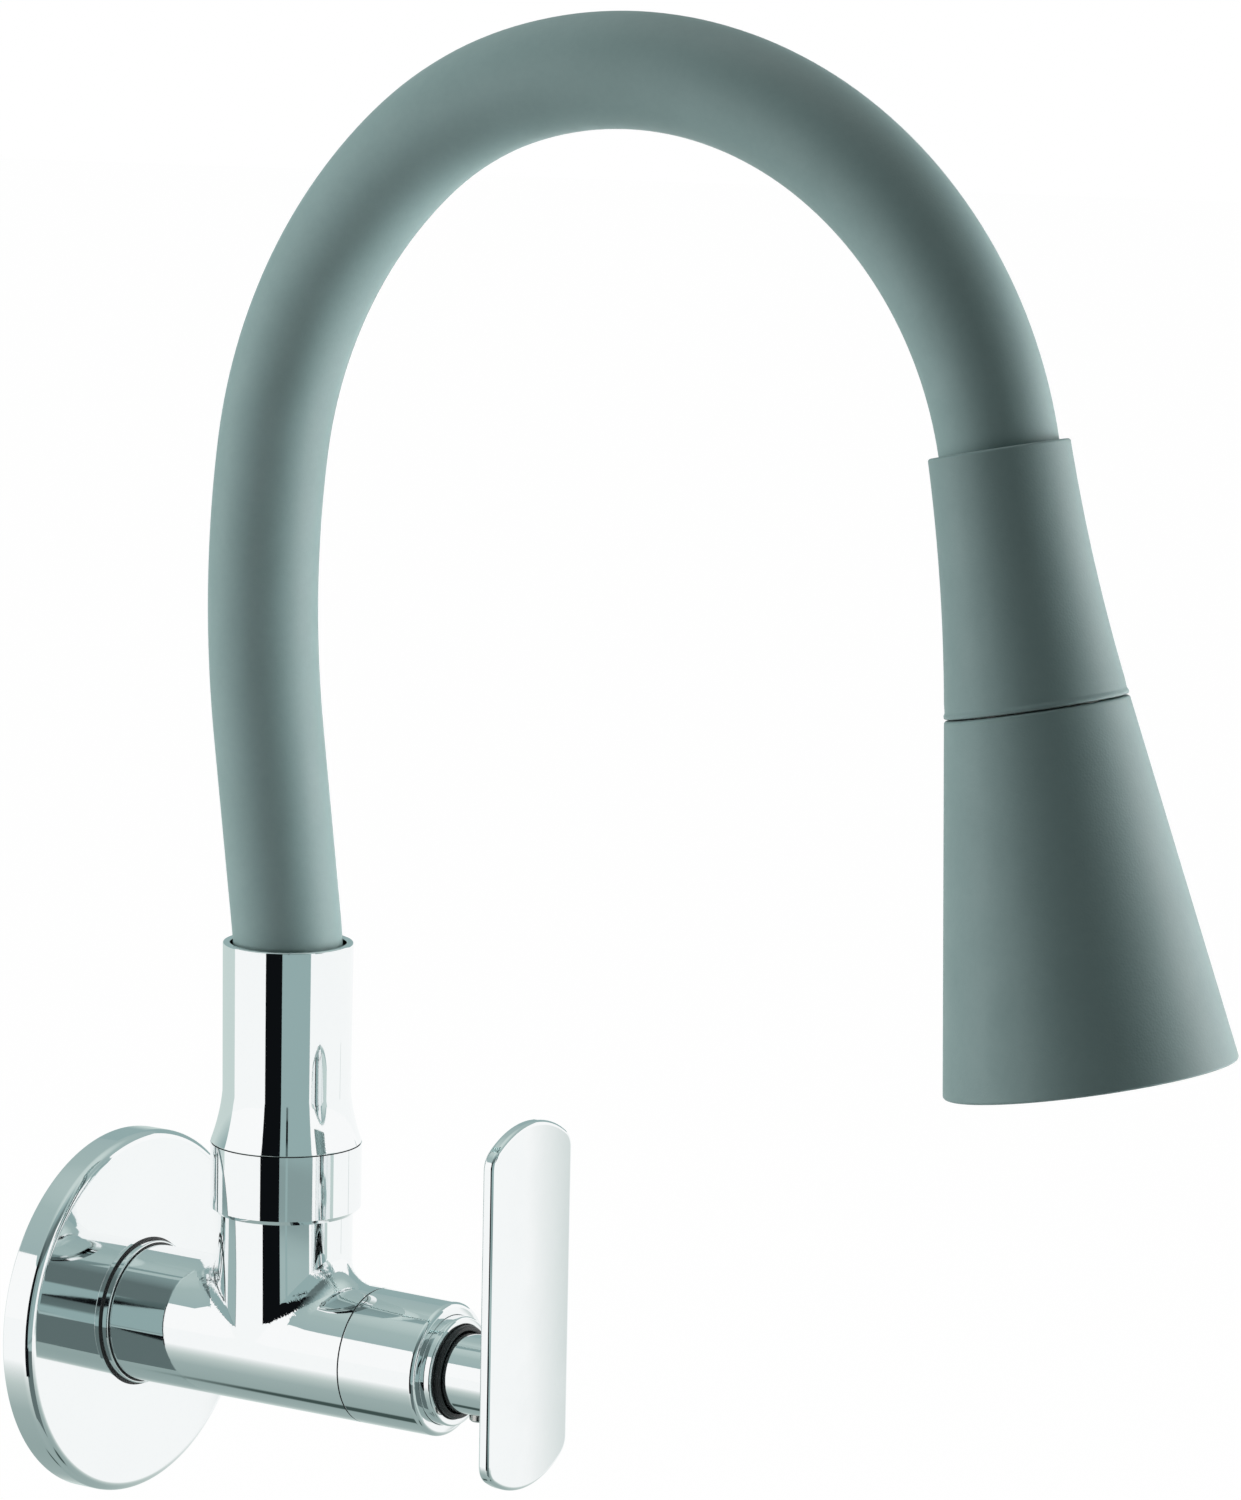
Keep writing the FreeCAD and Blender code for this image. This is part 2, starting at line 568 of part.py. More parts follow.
def meeting_edges(tee):
    """The edges where the neck's side leaves the barrel's side."""
    reach = NECK_DIAMETER / 2 + SEAT_GAP
    found = []
    for edge in tee.Edges:
        box = edge.BoundBox
        near_neck = max(abs(box.YMin + NECK_DISTANCE), abs(box.YMax + NECK_DISTANCE)) <= reach
        crossing = 0 <= box.ZMin and box.ZMax < BARREL_REAR_DIAMETER / 2
        if near_neck and crossing and not edge.Curve.TypeId.endswith("Line"):
            found.append(edge)
    return found


def cartridge_housing():
    """Brass headwork: nose with side windows, threaded middle, flange and round head."""
    nose, thread = NOSE_DIAMETER / 2, CHAMBER_DIAMETER / 2 - RUNNING_FIT
    pocket, bore = DISC_POCKET_DIAMETER / 2, SPINDLE_DIAMETER / 2 + RUNNING_FIT
    groove_floor = thread - HOUSING_RING_SECTION - SEAT_GAP
    groove_low = HOUSING_RING_DEPTH - HOUSING_RING_SECTION / 2 - SLIP_FIT
    groove_high = HOUSING_RING_DEPTH + HOUSING_RING_SECTION / 2 + SLIP_FIT
    flange_start = BODY_LENGTH + SEAT_GAP
    flange_end = flange_start + HOUSING_FLANGE_LENGTH
    head, clip = HOUSING_HEAD_DIAMETER / 2, CLIP_DIAMETER / 2 + SOFT_GAP
    housing = turned(
        (pocket, NOSE_START), (nose, NOSE_START), (nose, HOUSING_THREAD_START),
        (thread, HOUSING_THREAD_START), (thread, groove_low), (groove_floor, groove_low),
        (groove_floor, groove_high), (thread, groove_high), (thread, flange_start),
        (HOUSING_FLANGE_DIAMETER / 2, flange_start), (HOUSING_FLANGE_DIAMETER / 2, flange_end),
        (head, flange_end), (head, HOUSING_END), (clip, HOUSING_END),
        (clip, CLIP_DEPTH - SEAM_GAP), (bore, CLIP_DEPTH - SEAM_GAP), (bore, DISC_POCKET_END),
        (pocket, DISC_POCKET_END))
    for turn in (0, QUARTER_TURN):
        slot = Part.makeBox(WINDOW_WIDTH, NOSE_DIAMETER, WINDOW_LENGTH,
                            Vector(-WINDOW_WIDTH / 2, -nose, VALVE_SEAT_DEPTH + WINDOW_INSET))
        slot.rotate(ORIGIN, Z_AXIS, turn)
        housing = housing.cut(slot)
    return on_barrel(housing)


def housing_o_ring():
    thread = CHAMBER_DIAMETER / 2 - RUNNING_FIT
    centre = thread - HOUSING_RING_SECTION / 2
    return on_barrel(ring(centre, HOUSING_RING_SECTION, HOUSING_RING_DEPTH))


def seat_seal():
    outer = DISC_POCKET_DIAMETER - 2 * RUNNING_FIT
    low = VALVE_SEAT_DEPTH + SEAT_GAP
    return on_barrel(pipe(outer, SEAT_SEAL_BORE, low, low + SEAT_SEAL_THICKNESS))


def fixed_disc_start():
    return VALVE_SEAT_DEPTH + SEAT_SEAL_THICKNESS + 2 * SEAT_GAP


def ceramic_disc(low):
    """A ceramic disc with two facing ports."""
    disc = pipe(DISC_POCKET_DIAMETER - 2 * RUNNING_FIT, 0, low, low + DISC_THICKNESS)
    half = math.radians(DISC_PORT_ANGLE / 2)
    rays = [Vector(math.cos(angle), math.sin(angle), 0) for angle in (-half, 0, half)]
    inner = [ray * DISC_PORT_INNER_RADIUS + Vector(0, 0, low) for ray in rays]
    outer = [ray * DISC_PORT_OUTER_RADIUS + Vector(0, 0, low) for ray in rays]
    edges = [Part.LineSegment(inner[0], outer[0]).toShape(), Part.Arc(*outer).toShape(),
             Part.LineSegment(outer[2], inner[2]).toShape(), Part.Arc(*reversed(inner)).toShape()]
    for side in (0, FULL_TURN / 2):
        port = Part.Face(Part.Wire(edges)).extrude(Vector(0, 0, DISC_THICKNESS))
        port.rotate(ORIGIN, Z_AXIS, side)
        disc = disc.cut(port)
    return disc


def fixed_disc():
    return on_barrel(ceramic_disc(fixed_disc_start()))


def moving_disc():
    return on_barrel(ceramic_disc(fixed_disc_start() + DISC_THICKNESS + SEAT_GAP))


def spindle_foot_start():
    return fixed_disc_start() + 2 * DISC_THICKNESS + 2 * SEAT_GAP


def spindle_ring_depths():
    return [DISC_POCKET_END + inset for inset in SPINDLE_RING_INSETS]


def spindle():
    """Foot on the moving disc, waist past the windows, ringed shaft and splined end."""
    foot, waist = SPINDLE_FOOT_DIAMETER / 2, SPINDLE_WAIST_DIAMETER / 2
    shaft, spline = SPINDLE_DIAMETER / 2, SPINDLE_SPLINE_DIAMETER / 2
    start = spindle_foot_start()
    foot_end = start + SPINDLE_FOOT_LENGTH
    steps = [(foot, start), (foot, foot_end), (waist, foot_end), (waist, DISC_POCKET_END),
             (shaft, DISC_POCKET_END)]
    for depth in spindle_ring_depths():
        low = depth - SPINDLE_RING_SECTION / 2 - SLIP_FIT
        high = depth + SPINDLE_RING_SECTION / 2 + SLIP_FIT
        floor = shaft - SPINDLE_RING_SECTION
        steps += [(shaft, low), (floor, low), (floor, high), (shaft, high)]
    groove = shaft - CLIP_GROOVE_DEPTH
    clip_low, clip_high = CLIP_DEPTH - SEAT_GAP, CLIP_DEPTH + CLIP_THICKNESS + SEAT_GAP
    steps += [(shaft, clip_low), (groove, clip_low), (groove, clip_high), (shaft, clip_high)]
    steps += [(shaft, BUSH_FLOOR_START - SOFT_GAP), (spline, BUSH_FLOOR_START - SOFT_GAP)]
    steps += [(spline, SPINDLE_END), (0, SPINDLE_END)]
    body = turned((0, start), *steps)
    notch = SPINDLE_SPLINE_DIAMETER * math.pi / SPINDLE_SPLINE_TEETH / 2
    spline_start = BUSH_FLOOR_END + SOFT_GAP
    for tooth in range(SPINDLE_SPLINE_TEETH):
        cut = Part.makeBox(SPINDLE_SPLINE_DEPTH, notch, SPINDLE_END - spline_start,
                           Vector(spline - SPINDLE_SPLINE_DEPTH, -notch / 2, spline_start))
        cut.rotate(ORIGIN, Z_AXIS, tooth * FULL_TURN / SPINDLE_SPLINE_TEETH)
        body = body.cut(cut)
    return on_barrel(body)


def spindle_o_rings():
    centre = SPINDLE_DIAMETER / 2 - SPINDLE_RING_SECTION / 2
    rings = [ring(centre, SPINDLE_RING_SECTION - 2 * SEAT_GAP, depth) for depth in spindle_ring_depths()]
    return on_barrel(Part.makeCompound(rings))


def spindle_clip():
    inner = SPINDLE_DIAMETER - 2 * CLIP_GROOVE_DEPTH + 2 * SEAT_GAP
    clip = pipe(CLIP_DIAMETER, inner, CLIP_DEPTH, CLIP_DEPTH + CLIP_THICKNESS)
    mouth = Part.makeBox(CLIP_OPENING, CLIP_DIAMETER, CLIP_THICKNESS,
                         Vector(-CLIP_OPENING / 2, 0, CLIP_DEPTH))
    return on_barrel(clip.cut(mouth))


def cartridge_cover():
    start = BODY_LENGTH + SEAM_GAP
    rear, front = barrel_radius(start), barrel_radius(BARREL_LENGTH - COVER_EDGE_CHAMFER)
    wall_back = BARREL_LENGTH - COVER_FRONT_WALL
    nose = NOSE_RING_DIAMETER / 2 + RUNNING_FIT
    edge = COVER_EDGE_CHAMFER
    bulge = edge * math.sqrt(0.5)
    corner = BARREL_LENGTH - edge
    return on_barrel(turned(
        (COVER_BORE / 2, start), (rear, start), (front, corner),
        ((front - edge + bulge, corner + bulge), (front - edge, BARREL_LENGTH)), (nose, BARREL_LENGTH),
        (nose, wall_back), (COVER_BORE / 2, wall_back)))


def cover_nose_ring():
    wall_back = BARREL_LENGTH - COVER_FRONT_WALL - SEAT_GAP
    foot, ring_radius = COVER_BORE / 2 - SLIP_FIT, NOSE_RING_DIAMETER / 2
    bore = NOSE_RING_BORE / 2
    edge = SOFT_GAP
    return on_barrel(turned(
        (bore, wall_back - NOSE_RING_FOOT), (foot, wall_back - NOSE_RING_FOOT), (foot, wall_back),
        (ring_radius, wall_back), (ring_radius, NOSE_RING_END - edge), (ring_radius - edge, NOSE_RING_END),
        (bore, NOSE_RING_END)))


def spindle_bush():
    outer = NOSE_RING_BORE / 2 - RUNNING_FIT
    shaft, hub = SPINDLE_SPLINE_DIAMETER / 2 + SOFT_GAP, HUB_DIAMETER / 2 + SOFT_GAP
    return on_barrel(turned(
        (shaft, BUSH_FLOOR_START), (outer, BUSH_FLOOR_START), (outer, BUSH_END - SOFT_GAP),
        (outer - SOFT_GAP, BUSH_END), (hub, BUSH_END), (hub, BUSH_FLOOR_END), (shaft, BUSH_FLOOR_END)))


def lever_plate():
    """Flat plate with shallow round ends and eased edges."""
    half = LEVER_WIDTH / 2
    rise = LEVER_END_RADIUS - math.sqrt(LEVER_END_RADIUS ** 2 - half ** 2)
    top, bottom = LEVER_TOP, LEVER_BOTTOM
    top_arc = [Vector(-half, top - rise, 0), Vector(0, top, 0), Vector(half, top - rise, 0)]
    bottom_arc = [Vector(half, bottom + rise, 0), Vector(0, bottom, 0), Vector(-half, bottom + rise, 0)]
    edges = [Part.Arc(*top_arc).toShape(), Part.LineSegment(top_arc[2], bottom_arc[0]).toShape(),
             Part.Arc(*bottom_arc).toShape(), Part.LineSegment(bottom_arc[2], top_arc[0]).toShape()]
    plate = Part.Face(Part.Wire(edges)).extrude(Vector(0, 0, LEVER_THICKNESS))
    corners = [e for e in plate.Edges if e.BoundBox.ZLength > LEVER_THICKNESS / 2]
    plate = plate.makeFillet(LEVER_CORNER_RADIUS, corners)
    rims = [e for e in plate.Edges if e.BoundBox.ZLength < LEVER_THICKNESS / 2]
    plate = plate.makeFillet(LEVER_EDGE_ROUND, rims)
    plate.translate(Vector(0, 0, LEVER_BACK))
    return plate


def lever_handle():
    """Plate and round hub in one casting, bored for the spindle's spline and the set screw."""
    hub_start = BUSH_FLOOR_END + SOFT_GAP + SLIP_FIT
    hub = pipe(HUB_DIAMETER, 0, hub_start, LEVER_BACK + LEVER_THICKNESS / 2)
    socket = pipe(SPINDLE_SPLINE_DIAMETER + 2 * RUNNING_FIT, 0, hub_start, SPINDLE_END + SLIP_FIT)
    screw_hole = Part.makeCylinder(SET_SCREW_DIAMETER / 2 + RUNNING_FIT, HUB_DIAMETER,
                                   Vector(0, 0, SET_SCREW_DEPTH), Vector(0, -1, 0))
    return on_barrel(lever_plate().fuse(hub).removeSplitter().cut(socket).cut(screw_hole))


def handle_set_screw():
    tip = SPINDLE_SPLINE_DIAMETER / 2 + SEAT_GAP
    length = HUB_DIAMETER / 2 + SET_SCREW_PROUD - tip
    screw = Part.makeCylinder(SET_SCREW_DIAMETER / 2, length, ORIGIN)
    outer_rim = [e for e in screw.Edges if e.BoundBox.ZMin > length / 2]
    screw = screw.makeChamfer(SOFT_GAP, outer_rim)
    screw = screw.cut(hexagon(SET_SCREW_SOCKET, length - SET_SCREW_SOCKET_DEPTH, length))
    screw.Placement = Placement(Vector(0, -tip, SET_SCREW_DEPTH), Rotation(Vector(1, 0, 0), QUARTER_TURN))
    return on_barrel(screw)


def shoulder_start():
    return NECK_HEIGHT + SWIVEL_WASHER_THICKNESS + 2 * SEAT_GAP


def swivel_washer():
    low = NECK_HEIGHT + SEAT_GAP
    inner = SPIGOT_DIAMETER + 2 * SLIP_FIT
    return on_neck(pipe(SPIGOT_SHOULDER_DIAMETER, inner, low, low + SWIVEL_WASHER_THICKNESS))


def spigot_ring_heights():
    return [SPIGOT_BOTTOM + rise for rise in SPIGOT_RING_RISES]


def swivel_spigot():
    """Ringed spigot in the neck, trapped shoulder, collar thread and hose nipple."""
    body, shoulder = SPIGOT_DIAMETER / 2, SPIGOT_SHOULDER_DIAMETER / 2
    thread, nipple, bore = COLLAR_THREAD_DIAMETER / 2, NIPPLE_DIAMETER / 2, NIPPLE_BORE / 2
    low_shoulder = shoulder_start()
    steps = [(body, SPIGOT_BOTTOM)]
    for height in spigot_ring_heights():
        low = height - SPIGOT_RING_SECTION / 2 - SLIP_FIT
        high = height + SPIGOT_RING_SECTION / 2 + SLIP_FIT
        floor = body - SPIGOT_RING_SECTION
        steps += [(body, low), (floor, low), (floor, high), (body, high)]
    steps += [(body, low_shoulder), (shoulder, low_shoulder), (shoulder, low_shoulder + SPIGOT_SHOULDER),
              (thread, low_shoulder + SPIGOT_SHOULDER), (thread, SPIGOT_TOP), (nipple, SPIGOT_TOP),
              (nipple, SPIGOT_TOP + FERRULE_LENGTH), (bore, SPIGOT_TOP + FERRULE_LENGTH)]
    return on_neck(turned((bore, SPIGOT_BOTTOM), *steps))


def spigot_o_rings():
    centre = SPIGOT_DIAMETER / 2 - SPIGOT_RING_SECTION / 2
    rings = [ring(centre, SPIGOT_RING_SECTION - 2 * SEAT_GAP, height) for height in spigot_ring_heights()]
    return on_neck(Part.makeCompound(rings))


def swivel_nut():
    """Round nut on the neck's thread; its inner lip traps the spigot's shoulder."""
    outer, edge = NUT_DIAMETER / 2, NUT_EDGE_CHAMFER
    thread = NECK_THREAD_DIAMETER / 2 + RUNNING_FIT
    skirt = NECK_DIAMETER / 2 + SLIP_FIT
    lip = COLLAR_THREAD_DIAMETER / 2 + SOFT_GAP
    ceiling = shoulder_start() + SPIGOT_SHOULDER + SLIP_FIT
    thread_start = NECK_THREAD_START + SEAT_GAP
    return on_neck(turned(
        (skirt, NUT_BOTTOM), (outer - edge, NUT_BOTTOM), (outer, NUT_BOTTOM + edge), (outer, NUT_TOP),
        (lip, NUT_TOP), (lip, ceiling), (thread, ceiling), (thread, thread_start), (skirt, thread_start)))


def hose_collar():
    """Flared chrome sleeve over the foot of the hose."""
    foot, sleeve, mouth = NUT_DIAMETER / 2, COLLAR_SLEEVE_DIAMETER / 2, COLLAR_MOUTH_DIAMETER / 2
    half_way = (COLLAR_BOTTOM + COLLAR_FLARE_TOP) / 2
    belly = foot - (foot - sleeve) * COLLAR_FLARE_BELLY
    thread, pocket = COLLAR_THREAD_DIAMETER / 2 + RUNNING_FIT, COLLAR_POCKET_DIAMETER / 2
    floor = SPIGOT_TOP - SEAT_GAP
    return on_neck(turned(
        (thread, COLLAR_BOTTOM), (foot, COLLAR_BOTTOM), ((belly, half_way), (sleeve, COLLAR_FLARE_TOP)),
        (mouth, COLLAR_TOP), (pocket, COLLAR_TOP), (pocket, floor), (thread, floor)))


def lower_hose_ferrule():
    bore = GOOSENECK_DIAMETER / 2 + RUNNING_FIT
    hole = TUBE_BORE / 2 + RUNNING_FIT
    start, end = SPIGOT_TOP + SEAT_GAP, SPIGOT_TOP + FERRULE_LENGTH
    floor = SPIGOT_TOP + FERRULE_FLOOR
    return on_neck(turned(
        (hole, start), (FERRULE_DIAMETER / 2, start), (FERRULE_DIAMETER / 2, end), (bore, end),
        (bore, floor), (hole, floor)))


def upper_hose_ferrule():
    bore = GOOSENECK_DIAMETER / 2 + RUNNING_FIT
    hole = TUBE_BORE / 2 + RUNNING_FIT
    start, end = HEAD_MOUTH_DEPTH + SEAT_GAP, HEAD_GRIP_END
    floor = HEAD_GRIP_END - FERRULE_FLOOR
    return on_head(turned(
        (bore, start), (FERRULE_DIAMETER / 2, start), (FERRULE_DIAMETER / 2, end), (hole, end),
        (hole, floor), (bore, floor)))


def head_upper_radius(depth):
    """Outer radius of the upper shell, a shallow arc that opens towards the seam."""
    top, joint, length = HEAD_TOP_DIAMETER / 2, HEAD_JOINT_DIAMETER / 2, HEAD_UPPER_LENGTH
    share = depth / length
    return top + (joint - top) * share - 4 * HEAD_CURVE_SAG * share * (1 - share)


def head_shell():
    top, joint, length = HEAD_TOP_DIAMETER / 2, HEAD_JOINT_DIAMETER / 2, HEAD_UPPER_LENGTH
    land, grip = HEAD_LAND_DIAMETER / 2, FERRULE_DIAMETER / 2 + RUNNING_FIT
    mouth, edge = HEAD_MOUTH_DIAMETER / 2, HEAD_EDGE_ROUND
    middle = (head_upper_radius(length / 2), length / 2)
    cavity_top = head_upper_radius(HEAD_GRIP_END) - HEAD_WALL
    cavity_end = head_upper_radius(HEAD_LAND_START) - HEAD_WALL
    return on_head(turned(
        (mouth, 0), (top - edge, 0), (top, edge), (middle, (joint, length)), (land, length),
        (land, HEAD_LAND_START), (cavity_end, HEAD_LAND_START), (cavity_top, HEAD_GRIP_END + edge),
        (grip, HEAD_GRIP_END + edge), (grip, HEAD_MOUTH_DEPTH), (mouth, HEAD_MOUTH_DEPTH)))


def head_connector():
    """Brass connector: nipple in the hose's tube, hexagon and thread into the core."""
    start = HEAD_GRIP_END - FERRULE_LENGTH
    nipple = pipe(NIPPLE_DIAMETER, 0, start, CONNECTOR_HEX_START)
    middle = hexagon(CONNECTOR_HEX, CONNECTOR_HEX_START, CONNECTOR_HEX_END)
    thread = pipe(CONNECTOR_THREAD_DIAMETER, 0, CONNECTOR_HEX_END, CONNECTOR_END)
    solid = nipple.fuse([middle, thread]).removeSplitter()
    return on_head(solid.cut(pipe(NIPPLE_BORE, 0, start, CONNECTOR_END)))


def diverter_core():
    """Fixed core in the upper shell: threaded hub, port disc and the boss the cone turns on."""
    hub, disc = CORE_HUB_DIAMETER / 2, HEAD_LAND_DIAMETER / 2 - RUNNING_FIT
    boss, thread = CORE_BOSS_DIAMETER / 2, CONNECTOR_THREAD_DIAMETER / 2 + RUNNING_FIT
    socket_end = CONNECTOR_END + SLIP_FIT
    screw = PIVOT_SCREW_DIAMETER / 2 + RUNNING_FIT
    screw_end = CORE_BOSS_END - PIVOT_SCREW_LENGTH
    groove = boss - CORE_RING_SECTION
    groove_low = CORE_RING_DEPTH - CORE_RING_SECTION / 2 - SLIP_FIT
    groove_high = CORE_RING_DEPTH + CORE_RING_SECTION / 2 + SLIP_FIT
    core = turned(
        (thread, CORE_HUB_START), (hub, CORE_HUB_START), (hub, CORE_START), (disc, CORE_START),
        (disc, CORE_END), (boss, CORE_END), (boss, groove_low), (groove, groove_low),
        (groove, groove_high), (boss, groove_high), (boss, CORE_BOSS_END), (screw, CORE_BOSS_END),
        (screw, screw_end), (0, screw_end), (0, socket_end), (thread, socket_end))
    across = Part.makeBox(2 * CORE_PORT_RADIUS, CORE_PORT_DIAMETER, CORE_CROSS_PORT,
                          Vector(-CORE_PORT_RADIUS, -CORE_PORT_DIAMETER / 2, socket_end))
    ports = [Part.makeCylinder(CORE_PORT_DIAMETER / 2, CORE_END - socket_end, Vector(x, 0, socket_end))
             for x in (-CORE_PORT_RADIUS, CORE_PORT_RADIUS)]
    return on_head(core.cut([across, *ports]))


def core_o_ring():
    centre = CORE_BOSS_DIAMETER / 2 - CORE_RING_SECTION / 2
    return on_head(ring(centre, CORE_RING_SECTION - 2 * SEAT_GAP, CORE_RING_DEPTH))


def pivot_screw():
    """Screw in the core's boss; its head keeps the cone's rotor on the boss."""
    head, shank = PIVOT_SCREW_HEAD_DIAMETER / 2, PIVOT_SCREW_DIAMETER / 2
    start = CORE_BOSS_END + SEAT_GAP
    end = start + PIVOT_SCREW_HEAD
    tip = CORE_BOSS_END - PIVOT_SCREW_LENGTH + SLIP_FIT
    screw = turned((0, tip), (shank, tip), (shank, start), (head, start), (head, end), (0, end))
    slot = Part.makeBox(2 * head, PIVOT_SCREW_SLOT, PIVOT_SCREW_SLOT,
                        Vector(-head, -PIVOT_SCREW_SLOT / 2, end - PIVOT_SCREW_SLOT))
    return on_head(screw.cut(slot))


def cone_radius(depth):
    """Outer radius of the cone at a depth below the head's top edge."""
    joint, rim = HEAD_JOINT_DIAMETER / 2, CONE_RIM_DIAMETER / 2
    return joint + (rim - joint) * (depth - HEAD_UPPER_LENGTH) / (HEAD_LENGTH - HEAD_UPPER_LENGTH)


def spray_cone():
    start = HEAD_UPPER_LENGTH + SEAM_GAP
    land, wall, edge = CONE_LAND_DIAMETER / 2, CONE_WALL, CONE_RIM_CHAMFER
    shelf = SPRAY_FACE_DIAMETER / 2 + RUNNING_FIT
    ledge = cone_radius(SPRAY_FACE_START) - 2 * wall
    shoulder = cone_radius(CONE_LAND_END) - wall
    return on_head(turned(
        (land, start), (cone_radius(start), start), (cone_radius(HEAD_LENGTH - edge), HEAD_LENGTH - edge),
        (cone_radius(HEAD_LENGTH) - edge, HEAD_LENGTH), (shelf, HEAD_LENGTH), (shelf, SPRAY_FACE_START),
        (ledge, SPRAY_FACE_START), (shoulder, CONE_LAND_END), (land, CONE_LAND_END)))


def cone_rotor():
    """Port disc that turns on the core's boss and carries the cone and its tubes."""
    bore, disc = CORE_BOSS_DIAMETER / 2 + RUNNING_FIT, CONE_LAND_DIAMETER / 2 - RUNNING_FIT
    neck = ROTOR_NECK_DIAMETER / 2
    skirt, skirt_bore = ROTOR_SKIRT_DIAMETER / 2, ROTOR_SKIRT_BORE / 2
    boss_end = CORE_BOSS_END - SLIP_FIT
    rotor = turned(
        (bore, ROTOR_START), (neck, ROTOR_START), (neck, ROTOR_DISC_START), (disc, ROTOR_DISC_START),
        (disc, ROTOR_DISC_END), (skirt, ROTOR_DISC_END), (skirt, ROTOR_SKIRT_END),
        (skirt_bore, ROTOR_SKIRT_END), (skirt_bore, boss_end), (bore, boss_end))
    port = Part.makeCylinder(FEED_TUBE_BORE / 2, ROTOR_DISC_END, Vector(ROTOR_PORT_RADIUS, 0, ROTOR_START))
    pocket = Part.makeCylinder(FEED_TUBE_DIAMETER / 2 + RUNNING_FIT, FEED_TUBE_POCKET,
                               Vector(FEED_TUBE_RADIUS, 0, ROTOR_DISC_END - FEED_TUBE_POCKET))
    return on_head(rotor.cut(port).cut(pocket))


def aerator_tube():
    return on_head(pipe(AERATOR_TUBE_DIAMETER, AERATOR_TUBE_BORE, AERATOR_TUBE_START, AERATOR_TUBE_END))


def spray_feed_tube():
    low = ROTOR_DISC_END - FEED_TUBE_POCKET + SEAT_GAP
    high = CHAMBER_LID_START + CHAMBER_LID_THICKNESS
    tube = pipe(FEED_TUBE_DIAMETER, FEED_TUBE_BORE, low, high)
    tube.translate(Vector(FEED_TUBE_RADIUS, 0, 0))
    return on_head(tube)


def spray_chamber_lid():
    """Cup over the nozzle mat: it joins the feed tube and rings the aerator tube."""
    outer, wall = CHAMBER_SKIRT_DIAMETER / 2, CHAMBER_SKIRT_WALL
    start, floor = CHAMBER_LID_START, CHAMBER_LID_START + CHAMBER_LID_THICKNESS
    end = SPRAY_FACE_START - NOZZLE_MAT_THICKNESS - 2 * SEAT_GAP
    hole = ROTOR_SKIRT_BORE / 2
    lid = turned(
        (hole, start), (outer, start), (outer, end), (outer - wall, end), (outer - wall, floor),
        (hole, floor))
    feed = Part.makeCylinder(FEED_TUBE_DIAMETER / 2 + RUNNING_FIT, CHAMBER_LID_THICKNESS,
                             Vector(FEED_TUBE_RADIUS, 0, start))
    return on_head(lid.cut(feed))


def nozzle_places():
    """Centres of the spray nozzles on their rings."""
    for radius in NOZZLE_RING_RADII:
        count = 2 * round(math.pi * radius / NOZZLE_PITCH)
        for k in range(count):
            angle = 2 * math.pi * k / count
            yield radius * math.cos(angle), radius * math.sin(angle)


def nozzle_mat():
    """Soft sheet behind the spray face with a hollow nozzle through each of its holes."""
    outer = CHAMBER_SKIRT_DIAMETER
    inner = AERATOR_DIAMETER + 2 * SLIP_FIT
    low = SPRAY_FACE_START - NOZZLE_MAT_THICKNESS - SEAT_GAP
    high = SPRAY_FACE_START - SEAT_GAP
    tip = SPRAY_FACE_START + SPRAY_FACE_THICKNESS + NOZZLE_PROUD
    sheet = pipe(outer, inner, low, high)
    places = list(nozzle_places())
    base, point = NOZZLE_DIAMETER / 2, NOZZLE_TIP_DIAMETER / 2
    nozzles = [Part.makeCone(base, point, tip - low, Vector(x, y, low)) for x, y in places]
    bores = [Part.makeCylinder(NOZZLE_BORE / 2, tip - low, Vector(x, y, low)) for x, y in places]
    return on_head(sheet.fuse(nozzles).cut(Part.makeCompound(bores)))


def spray_face():
    """Disc with a hole for each nozzle and the aerator's hole in the middle."""
    low, high = SPRAY_FACE_START, SPRAY_FACE_START + SPRAY_FACE_THICKNESS
    disc = pipe(SPRAY_FACE_DIAMETER, AERATOR_DIAMETER + 2 * RUNNING_FIT, low, high)
    hole = NOZZLE_DIAMETER / 2 + RUNNING_FIT
    holes = [Part.makeCylinder(hole, high - low, Vector(x, y, low)) for x, y in nozzle_places()]
    return on_head(disc.cut(Part.makeCompound(holes)))


def aerator_housing():
    """Insert on the end of the aerator tube with a shelf for its screen."""
    outer, bore = AERATOR_DIAMETER / 2, AERATOR_BORE / 2
    shelf = AERATOR_TUBE_BORE / 2
    low = CHAMBER_LID_START + CHAMBER_LID_THICKNESS + SEAT_GAP
    return on_head(turned(
        (shelf, low), (outer, low), (outer, AERATOR_END), (bore, AERATOR_END), (bore, AERATOR_SHELF),
        (shelf, AERATOR_SHELF)))


def aerator_screen():
    low = AERATOR_SHELF + SEAT_GAP
    radius = AERATOR_BORE / 2 - RUNNING_FIT
    screen = pipe(2 * radius, 0, low, low + SCREEN_THICKNESS)
    reach = int(radius / SCREEN_PITCH)
    holes = []
    for i in range(-reach, reach + 1):
        for j in range(-reach, reach + 1):
            x, y = i * SCREEN_PITCH, j * SCREEN_PITCH
            if math.hypot(x, y) < radius - SCREEN_HOLE:
                holes.append(Part.makeBox(SCREEN_HOLE, SCREEN_HOLE, SCREEN_THICKNESS,
                                          Vector(x - SCREEN_HOLE / 2, y - SCREEN_HOLE / 2, low)))
    return on_head(screen.cut(Part.makeCompound(holes)))


